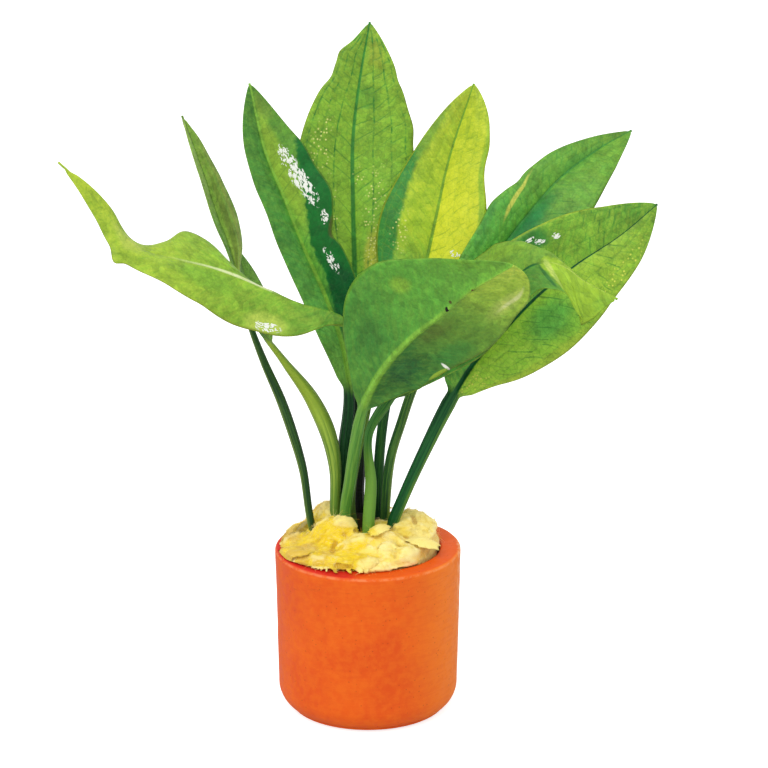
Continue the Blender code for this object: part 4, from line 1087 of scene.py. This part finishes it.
# Midrib, long veins, ladder rungs and the fine net between them
def buildVeins():
    group, given, made = makeGroup(
        "leafVeins",
        [("Lay", "Vector", (0, 0, 0)), ("Run", "Vector", (0, 0, 0)), ("Line", "Float", 0.38),
         ("Rib Width", "Float", 1.0), ("Rib Tip", "Float", 0.3)],
        [("Rib", "Float"), ("Veins", "Float"), ("Rungs", "Float"), ("Net", "Float")])
    across, share, width = splitVector(group, given["Lay"])
    acrossMm, alongMm, rung = splitVector(group, given["Run"])
    reach = calc(group, "ABSOLUTE", across)
    flat = joinVector(group, acrossMm, alongMm, 0.0)
    wobble = calc(group, "MULTIPLY", calc(group, "SUBTRACT", addNoise(group, flat, 0.35), 0.5), 0.5)
    taper = calc(group, "MULTIPLY_ADD", share, calc(group, "SUBTRACT", given["Rib Tip"], 1.05), 1.05)
    ribWidth = calc(group, "MAXIMUM", calc(group, "MULTIPLY", taper, given["Rib Width"]), 0.18)
    ribDistance = calc(group, "DIVIDE", calc(group, "ABSOLUTE", acrossMm), ribWidth)
    group.links.new(ease(group, ribDistance, 1.0, 0.45), made["Rib"])
    nearest = None
    band = calc(group, "MULTIPLY", calc(group, "GREATER_THAN", across, 0.0), 0.23)
    for place in leafMesh["veins"]:
        distance = calc(group, "MULTIPLY", calc(group, "ABSOLUTE", calc(group, "SUBTRACT", reach, place)), width)
        nearest = distance if nearest is None else calc(group, "MINIMUM", nearest, distance)
        band = calc(group, "MULTIPLY_ADD", calc(group, "GREATER_THAN", reach, place), 0.41, band)
    nearest = calc(group, "ABSOLUTE", calc(group, "ADD", nearest, wobble))
    group.links.new(ease(group, nearest, given["Line"], 0.05), made["Veins"])
    phase = calc(group, "FRACT", calc(group, "ADD", calc(group, "ADD", rung, band), 0.5))
    away = calc(group, "MULTIPLY", calc(group, "ABSOLUTE", calc(group, "SUBTRACT", phase, 0.5)),
                leafMesh["rungSpacing"])
    rungs = ease(group, calc(group, "ABSOLUTE", calc(group, "ADD", away, wobble)), given["Line"], 0.03)
    inside = ease(group, reach, 0.97, 0.9)
    group.links.new(calc(group, "MULTIPLY", rungs, inside), made["Rungs"])
    cells = addNode(group, "TexVoronoi", {"Vector": flat, "Scale": 0.62, "Randomness": 0.9},
                    feature="DISTANCE_TO_EDGE", voronoi_dimensions="2D").outputs["Distance"]
    group.links.new(ease(group, cells, 0.10, 0.01), made["Net"])
    return group


# Light and dark of the skin: small cells of tissue, cloudy patches and fine grain, about 0.5
def buildTone():
    group, given, made = makeGroup(
        "leafTone", [("Flat", "Vector", (0, 0, 0)), ("Strength", "Float", 0.3)], [("Tone", "Float")])
    cells = addNode(group, "TexVoronoi", {"Vector": given["Flat"], "Scale": 0.62, "Randomness": 0.9},
                    voronoi_dimensions="2D").outputs["Color"]
    cell = splitVector(group, cells)[0]
    clouds = ease(group, addNoise(group, given["Flat"], 0.22, 5.0, 0.62, 0.5), 0.32, 0.68)
    grain = addNoise(group, given["Flat"], 1.3, 3.0, 0.7)
    total = calc(group, "MULTIPLY_ADD", cell, 0.4, calc(group, "MULTIPLY", clouds, 0.5))
    total = calc(group, "ADD", total, calc(group, "MULTIPLY", grain, 1.2))
    total = calc(group, "SUBTRACT", total, (0.4 + 0.5 + 1.2) / 2)
    group.links.new(calc(group, "MULTIPLY_ADD", total, given["Strength"], 0.5), made["Tone"])
    return group


# Small pale flecks scattered inside an area
def buildFlecks():
    group, given, made = makeGroup(
        "paleFlecks", [("Flat", "Vector", (0, 0, 0)), ("Area", "Float", 0.0)], [("Mask", "Float")])
    spots = addNode(group, "TexVoronoi", {"Vector": given["Flat"], "Scale": 1.05, "Randomness": 1.0},
                    voronoi_dimensions="2D").outputs
    chosen = ease(group, splitVector(group, spots["Color"])[1], 0.45, 0.8)
    dot = ease(group, spots["Distance"], 0.36, 0.16)
    group.links.new(calc(group, "MULTIPLY", calc(group, "MULTIPLY", dot, chosen), given["Area"]), made["Mask"])
    return group


# A patch on a leaf, at a share along and across it; Lean slides it across as it runs along
def buildPatch():
    group, given, made = makeGroup(
        "leafPatch",
        [("Lay", "Vector", (0, 0, 0)), ("Run", "Vector", (0, 0, 0)), ("At", "Vector", (0, 0, 0)),
         ("Size", "Vector", (0.1, 0.1, 1.0)), ("Ragged", "Float", 0.3), ("Soft", "Float", 0.6),
         ("Lean", "Float", 0.0)],
        [("Mask", "Float")])
    x, y, _ = splitVector(group, vectorCalc(group, "SUBTRACT", given["Lay"], given["At"]))
    x = calc(group, "SUBTRACT", x, calc(group, "MULTIPLY", y, given["Lean"]))
    away = vectorCalc(group, "DIVIDE", joinVector(group, x, y, 0.0), given["Size"])
    length = addNode(group, "VectorMath", {0: away}, operation="LENGTH").outputs["Value"]
    ragged = calc(group, "SUBTRACT", addNoise(group, given["Run"], 0.45, 3.0), 0.5)
    length = calc(group, "ADD", length, calc(group, "MULTIPLY", ragged, given["Ragged"]))
    inner = calc(group, "SUBTRACT", 1.05, given["Soft"])
    share = calc(group, "DIVIDE", calc(group, "SUBTRACT", 1.05, length),
                 calc(group, "SUBTRACT", 1.05, inner))
    group.links.new(ease(group, share, 0.0, 1.0), made["Mask"])
    return group


# Painted white glints of water, as highlights: drops of two sizes in broken strings
def buildWet():
    group, given, made = makeGroup(
        "wetGlints", [("Run", "Vector", (0, 0, 0)), ("Area", "Float", 0.0)], [("Glint", "Float")])
    bent = vectorCalc(group, "ADD", given["Run"], vectorCalc(
        group, "SCALE", addNode(group, "TexNoise", {"Vector": given["Run"], "Scale": 0.6}).outputs["Color"],
        scale=2.0))
    bent = vectorCalc(group, "MULTIPLY", bent, (1.2, 0.5, 0.0))
    glint = None
    for scale, size, often in ((1.0, 0.5, 0.62), (2.0, 0.45, 0.6)):
        drops = addNode(group, "TexVoronoi", {"Vector": bent, "Scale": scale, "Randomness": 1.0},
                        voronoi_dimensions="2D").outputs
        chosen = calc(group, "GREATER_THAN", splitVector(group, drops["Color"])[0],
                      calc(group, "MULTIPLY_ADD", given["Area"], -often, 0.9))
        drop = calc(group, "MULTIPLY", ease(group, drops["Distance"], size, size * 0.7), chosen)
        glint = drop if glint is None else calc(group, "MAXIMUM", glint, drop)
    group.links.new(calc(group, "MULTIPLY", glint, ease(group, given["Area"], 0.25, 0.5)), made["Glint"])
    return group


leafVeins, leafPatch, wetGlints = buildVeins(), buildPatch(), buildWet()
leafTone, paleFlecks = buildTone(), buildFlecks()


# Which way across and up on the stalk points to +X
def sideOfStalk(leaf):
    station = leafStation(leaf, 0.12, 1.0)
    return Vector((station["left"].x, station["up"].x)).normalized()


def buildLeafFinish(name, leaf, seed):
    material, tree, shader = newMaterial(name)
    lay = addNode(tree, "Attribute", attribute_name="leafLay").outputs["Vector"]
    run = addNode(tree, "Attribute", attribute_name="leafRun").outputs["Vector"]
    around = addNode(tree, "Attribute", attribute_name="leafRound").outputs["Vector"]
    across, share, _ = splitVector(tree, lay)
    acrossMm, alongMm, rung = splitVector(tree, run)
    sideways, upwards, opened = splitVector(tree, around)
    opened = calc(tree, "MAXIMUM", opened, ease(tree, share, 0.4, 0.6))
    flat = joinVector(tree, acrossMm, alongMm, seed * 13.7)
    marks = useGroup(tree, blotches, {"Place": flat, "Broad Size": 11.0, "Fine Size": 2.0})
    veins = useGroup(tree, leafVeins, {"Lay": lay, "Run": run, "Rib Width": leaf.get("ribWide", 1.0),
                                       "Rib Tip": leaf.get("ribTip", 0.3)})
    half = ease(tree, across, -0.06, 0.06)
    colour = mixColour(tree, half, addRamp(tree, share, leaf["right"]), addRamp(tree, share, leaf["left"]))

    def patch(q, u, sizeQ, sizeU, **more):
        return useGroup(tree, leafPatch, {"Lay": lay, "Run": run, "At": (u, q, 0), "Size": (sizeU, sizeQ, 1),
                                          **more})["Mask"]

    # mottled, in streaks that follow the side veins
    brushed = joinVector(tree, calc(tree, "MULTIPLY", rung, 5.0), calc(tree, "MULTIPLY", acrossMm, 0.42), seed)
    bright = ease(tree, addNoise(tree, brushed, 0.75, 4.0, 0.65, 0.6), 0.42, 0.6)
    colour = mixColour(tree, calc(tree, "MULTIPLY", bright, 0.22), colour, screenColour(*leaf["pale"]))
    dull = ease(tree, addNoise(tree, flat, 0.42, 4.0, 0.65, 0.9), 0.54, 0.38)
    colour = mixColour(tree, calc(tree, "MULTIPLY", dull, 0.22), colour, screenColour(*leaf["deep"]))
    for q, u, sizeQ, sizeU, patchColour, strength, soft, lean in leaf["patches"]:
        mask = patch(q, u, sizeQ, sizeU, Soft=soft, Lean=lean)
        colour = mixColour(tree, calc(tree, "MULTIPLY", mask, strength), colour, screenColour(*patchColour))
    veinColour = screenColour(*leaf["vein"])
    broken = calc(tree, "MULTIPLY_ADD", marks["Broad"], 0.75, 0.25)
    longLines = calc(tree, "MULTIPLY", calc(tree, "MULTIPLY", veins["Veins"], marks["Fine"]),
                     leaf.get("longShow", 0.6))
    lines = calc(tree, "MULTIPLY", calc(tree, "MAXIMUM", longLines,
                                        calc(tree, "MULTIPLY", veins["Rungs"], broken)), leaf["veinShow"])
    colour = mixColour(tree, lines, colour, veinColour)
    colour = mixColour(tree, calc(tree, "MULTIPLY", veins["Net"], leaf["veinShow"] * 0.4), colour, veinColour)
    if leaf["under"]:
        below = ease(tree, upwards, 0.03, -0.03)
        colour = mixColour(tree, calc(tree, "MULTIPLY", below, 0.6), colour, screenColour(*leaf["under"]))
    rib = calc(tree, "MULTIPLY", veins["Rib"], leaf["ribShow"])
    if "ribFade" in leaf:
        rib = calc(tree, "MULTIPLY", rib, ease(tree, share, leaf["ribFade"][1], leaf["ribFade"][0]))
    if "ribStart" in leaf:
        rib = calc(tree, "MULTIPLY", rib, ease(tree, share, *leaf["ribStart"]))
    colour = mixColour(tree, rib, colour, screenColour(*leaf["ribColour"]))
    edge = calc(tree, "MULTIPLY", ease(tree, calc(tree, "ABSOLUTE", across), 0.955, 0.99), 0.5)
    colour = mixColour(tree, edge, colour, screenColour(*leaf["pale"]))
    tone = useGroup(tree, leafTone, {"Flat": flat, "Strength": leaf.get("tone", 0.3)})["Tone"]
    colour = mixColour(tree, 1.0, colour, joinVector(tree, tone, tone, tone), "OVERLAY")
    for q, u, sizeQ, sizeU, spotColour in leaf.get("spots", ()):
        colour = mixColour(tree, patch(q, u, sizeQ, sizeU, Soft=0.4, Ragged=0.6), colour, screenColour(*spotColour))
    for q, u, sizeQ, sizeU in leaf.get("flecks", ()):
        area = patch(q, u, sizeQ, sizeU, Ragged=0.9)
        fleck = useGroup(tree, paleFlecks, {"Flat": flat, "Area": area})["Mask"]
        colour = mixColour(tree, fleck, colour, screenColour(*leaf.get("fleckColour", (236, 238, 140))))
    # stalk: streaked along its length, with painted light on one side
    streakPlace = joinVector(tree, calc(tree, "MULTIPLY", sideways, 2.2), calc(tree, "MULTIPLY", upwards, 2.2),
                             calc(tree, "MULTIPLY", alongMm, 0.035))
    streaks = ease(tree, addNoise(tree, streakPlace, 1.6, 4.0, 0.6), 0.4, 0.6)
    dark, light, foot = (screenColour(*c) for c in leaf["stalkColours"])
    stalkColour = mixColour(tree, streaks, dark, light)
    footRun = -leaf["blade"] * spineLength(leaf)
    start, end = leaf.get("footShade", (0.55, 0.9))
    low = ease(tree, alongMm, footRun * start, footRun * end)
    # the foot's colour; where it is darker, it is painted shade low among the stalks
    stalkColour = mixColour(tree, calc(tree, "MULTIPLY", low, 0.85), stalkColour, foot)
    if "neck" in leaf:
        high = ease(tree, alongMm, footRun * 0.5, footRun * 0.2)
        stalkColour = mixColour(tree, calc(tree, "MULTIPLY", high, 0.7), stalkColour, screenColour(*leaf["neck"]))
    if "lit" in leaf:
        side, strength, litColour = leaf["lit"]
        toX = sideOfStalk(leaf) * side
        facing = calc(tree, "MULTIPLY_ADD", sideways, toX.x, calc(tree, "MULTIPLY", upwards, toX.y))
        facing = calc(tree, "ADD", facing, calc(tree, "MULTIPLY", streaks, 0.3))
        stalkColour = mixColour(tree, calc(tree, "MULTIPLY", ease(tree, facing, 0.45, 1.0), strength),
                                stalkColour, screenColour(*litColour))
    colour = mixColour(tree, opened, stalkColour, colour)
    rough = calc(tree, "MULTIPLY_ADD", marks["Fine"], 0.14, 0.32)
    height = calc(tree, "MULTIPLY_ADD", veins["Net"], -0.5, marks["Grain"])
    height = calc(tree, "SUBTRACT", height, calc(tree, "MULTIPLY", lines, 1.2))
    if leaf["wet"]:
        film = None
        for q, u, sizeQ, sizeU, lean in leaf["wet"]:
            mask = patch(q, u, sizeQ, sizeU, Ragged=0.5, Soft=0.8, Lean=lean)
            film = mask if film is None else calc(tree, "MAXIMUM", film, mask)
        film = calc(tree, "MULTIPLY", film, ease(tree, upwards, -0.03, 0.03))
        # painted highlights: white glints of water over a wetter, smoother film
        glint = useGroup(tree, wetGlints, {"Run": flat, "Area": film})["Glint"]
        colour = mixColour(tree, glint, colour, screenColour(252, 254, 246))
        rough = calc(tree, "MULTIPLY_ADD", film, -0.16, rough)
        height = calc(tree, "ADD", height, calc(tree, "MULTIPLY", glint, 1.5))
    tree.links.new(colour, shader.inputs["Base Color"])
    tree.links.new(rough, shader.inputs["Roughness"])
    bump = addNode(tree, "Bump", {"Height": height, "Strength": 0.35, "Distance": 0.16 * mm})
    tree.links.new(bump.outputs[0], shader.inputs["Normal"])
    shader.inputs["Specular IOR Level"].default_value = 0.25
    # a little light comes through the blade
    through = addNode(tree, "BsdfTranslucent", {"Color": colour})
    mixed = addNode(tree, "MixShader", {0: 0.16, 1: shader.outputs[0], 2: through.outputs[0]})
    tree.links.new(mixed.outputs[0], tree.nodes["Material Output"].inputs["Surface"])
    return material


def pieceName(node):
    first, *rest = node.split("_")
    return first + "".join(word.capitalize() for word in rest)


blank = buildLeafBlank()
for seed, (node, leaf) in enumerate(leaves.items()):
    selectOnly(blank)
    bpy.ops.object.duplicate(linked=False)
    leafObject = bpy.context.active_object
    shapeLeaf(leafObject, leaf, seed)
    finishPiece(leafObject, pieceName(node), buildLeafFinish(pieceName(node) + "Skin", leaf, seed), node)
bpy.data.objects.remove(blank, do_unlink=True)


# Floor, light and camera

studio = {
    "floorSize": 6.0, "floor": (214, 214, 214), "glow": 0.72,            # metres; the glow bleaches what is seen
    "sky": 0.82, "keyStrength": 1.35, "keySpread": 50, "keyTurn": -35, "keyHeight": 50,
    "fillStrength": 0.35, "fillTurn": 60, "fillHeight": 30,
}
view = {"distance": 850.0, "elevation": 17.5, "target": (4.66, 0.0, 98.1), "frameWidth": 219.65, "sensor": 36.0}


def buildFloor():
    deselectAll()
    bpy.ops.mesh.primitive_plane_add(size=studio["floorSize"], location=(0, 0, -0.05 * mm))
    obj = bpy.context.active_object
    bpy.ops.object.transform_apply(location=True, rotation=True, scale=True)
    obj.name = "studioFloor"
    material, tree, shader = newMaterial("studioWhite")
    marks = addNoise(tree, placeInMm(tree), 0.01)
    shade = screenColour(*studio["floor"])
    colour = mixColour(tree, calc(tree, "MULTIPLY", marks, 0.1), shade, screenColour(205, 205, 205))
    tree.links.new(colour, shader.inputs["Base Color"])
    shader.inputs["Roughness"].default_value = 0.9
    shader.inputs["Specular IOR Level"].default_value = 0.0
    # the floor glows only where it is seen directly, so that it doesn't light the plant from below
    seen = addNode(tree, "LightPath").outputs["Is Camera Ray"]
    glow = addNode(tree, "Emission", {"Strength": calc(tree, "MULTIPLY", seen, studio["glow"])})
    both = addNode(tree, "AddShader", {0: shader.outputs[0], 1: glow.outputs[0]})
    tree.links.new(both.outputs[0], tree.nodes["Material Output"].inputs["Surface"])
    obj.data.materials.append(material)


def addSun(name, strength, spread, turn, height):
    light = bpy.data.lights.new(name, "SUN")
    light.energy = strength
    light.angle = math.radians(spread)
    obj = bpy.data.objects.new(name, light)
    bpy.context.scene.collection.objects.link(obj)
    # turn: from the camera's side, minus is to its left; height: above the floor, degrees
    obj.rotation_euler = (math.radians(90 - height), 0, math.radians(turn))


def buildStudio():
    buildFloor()
    addSun("keyLight", studio["keyStrength"], studio["keySpread"], studio["keyTurn"], studio["keyHeight"])
    addSun("fillLight", studio["fillStrength"], 90, studio["fillTurn"], studio["fillHeight"])
    world = bpy.data.worlds.new("studioSky")
    bpy.context.scene.world = world
    world.use_nodes = True
    world.node_tree.nodes["Background"].inputs["Color"].default_value = (1, 1, 1, 1)
    world.node_tree.nodes["Background"].inputs["Strength"].default_value = studio["sky"]
    bpy.context.scene.view_settings.view_transform = "Standard"


def buildCamera():
    lens = bpy.data.cameras.new("photoView")
    lens.sensor_width = view["sensor"]
    lens.lens = view["sensor"] * view["distance"] / view["frameWidth"]
    lens.clip_end = 20
    obj = bpy.data.objects.new("photoView", lens)
    bpy.context.scene.collection.objects.link(obj)
    tilt = math.radians(view["elevation"])
    back = Vector((0, -math.cos(tilt), math.sin(tilt))) * view["distance"]
    obj.location = (Vector(view["target"]) + back) * mm
    obj.rotation_euler = (math.radians(90) - tilt, 0, 0)
    bpy.context.scene.camera = obj


buildStudio()
buildCamera()
print("studio ready")
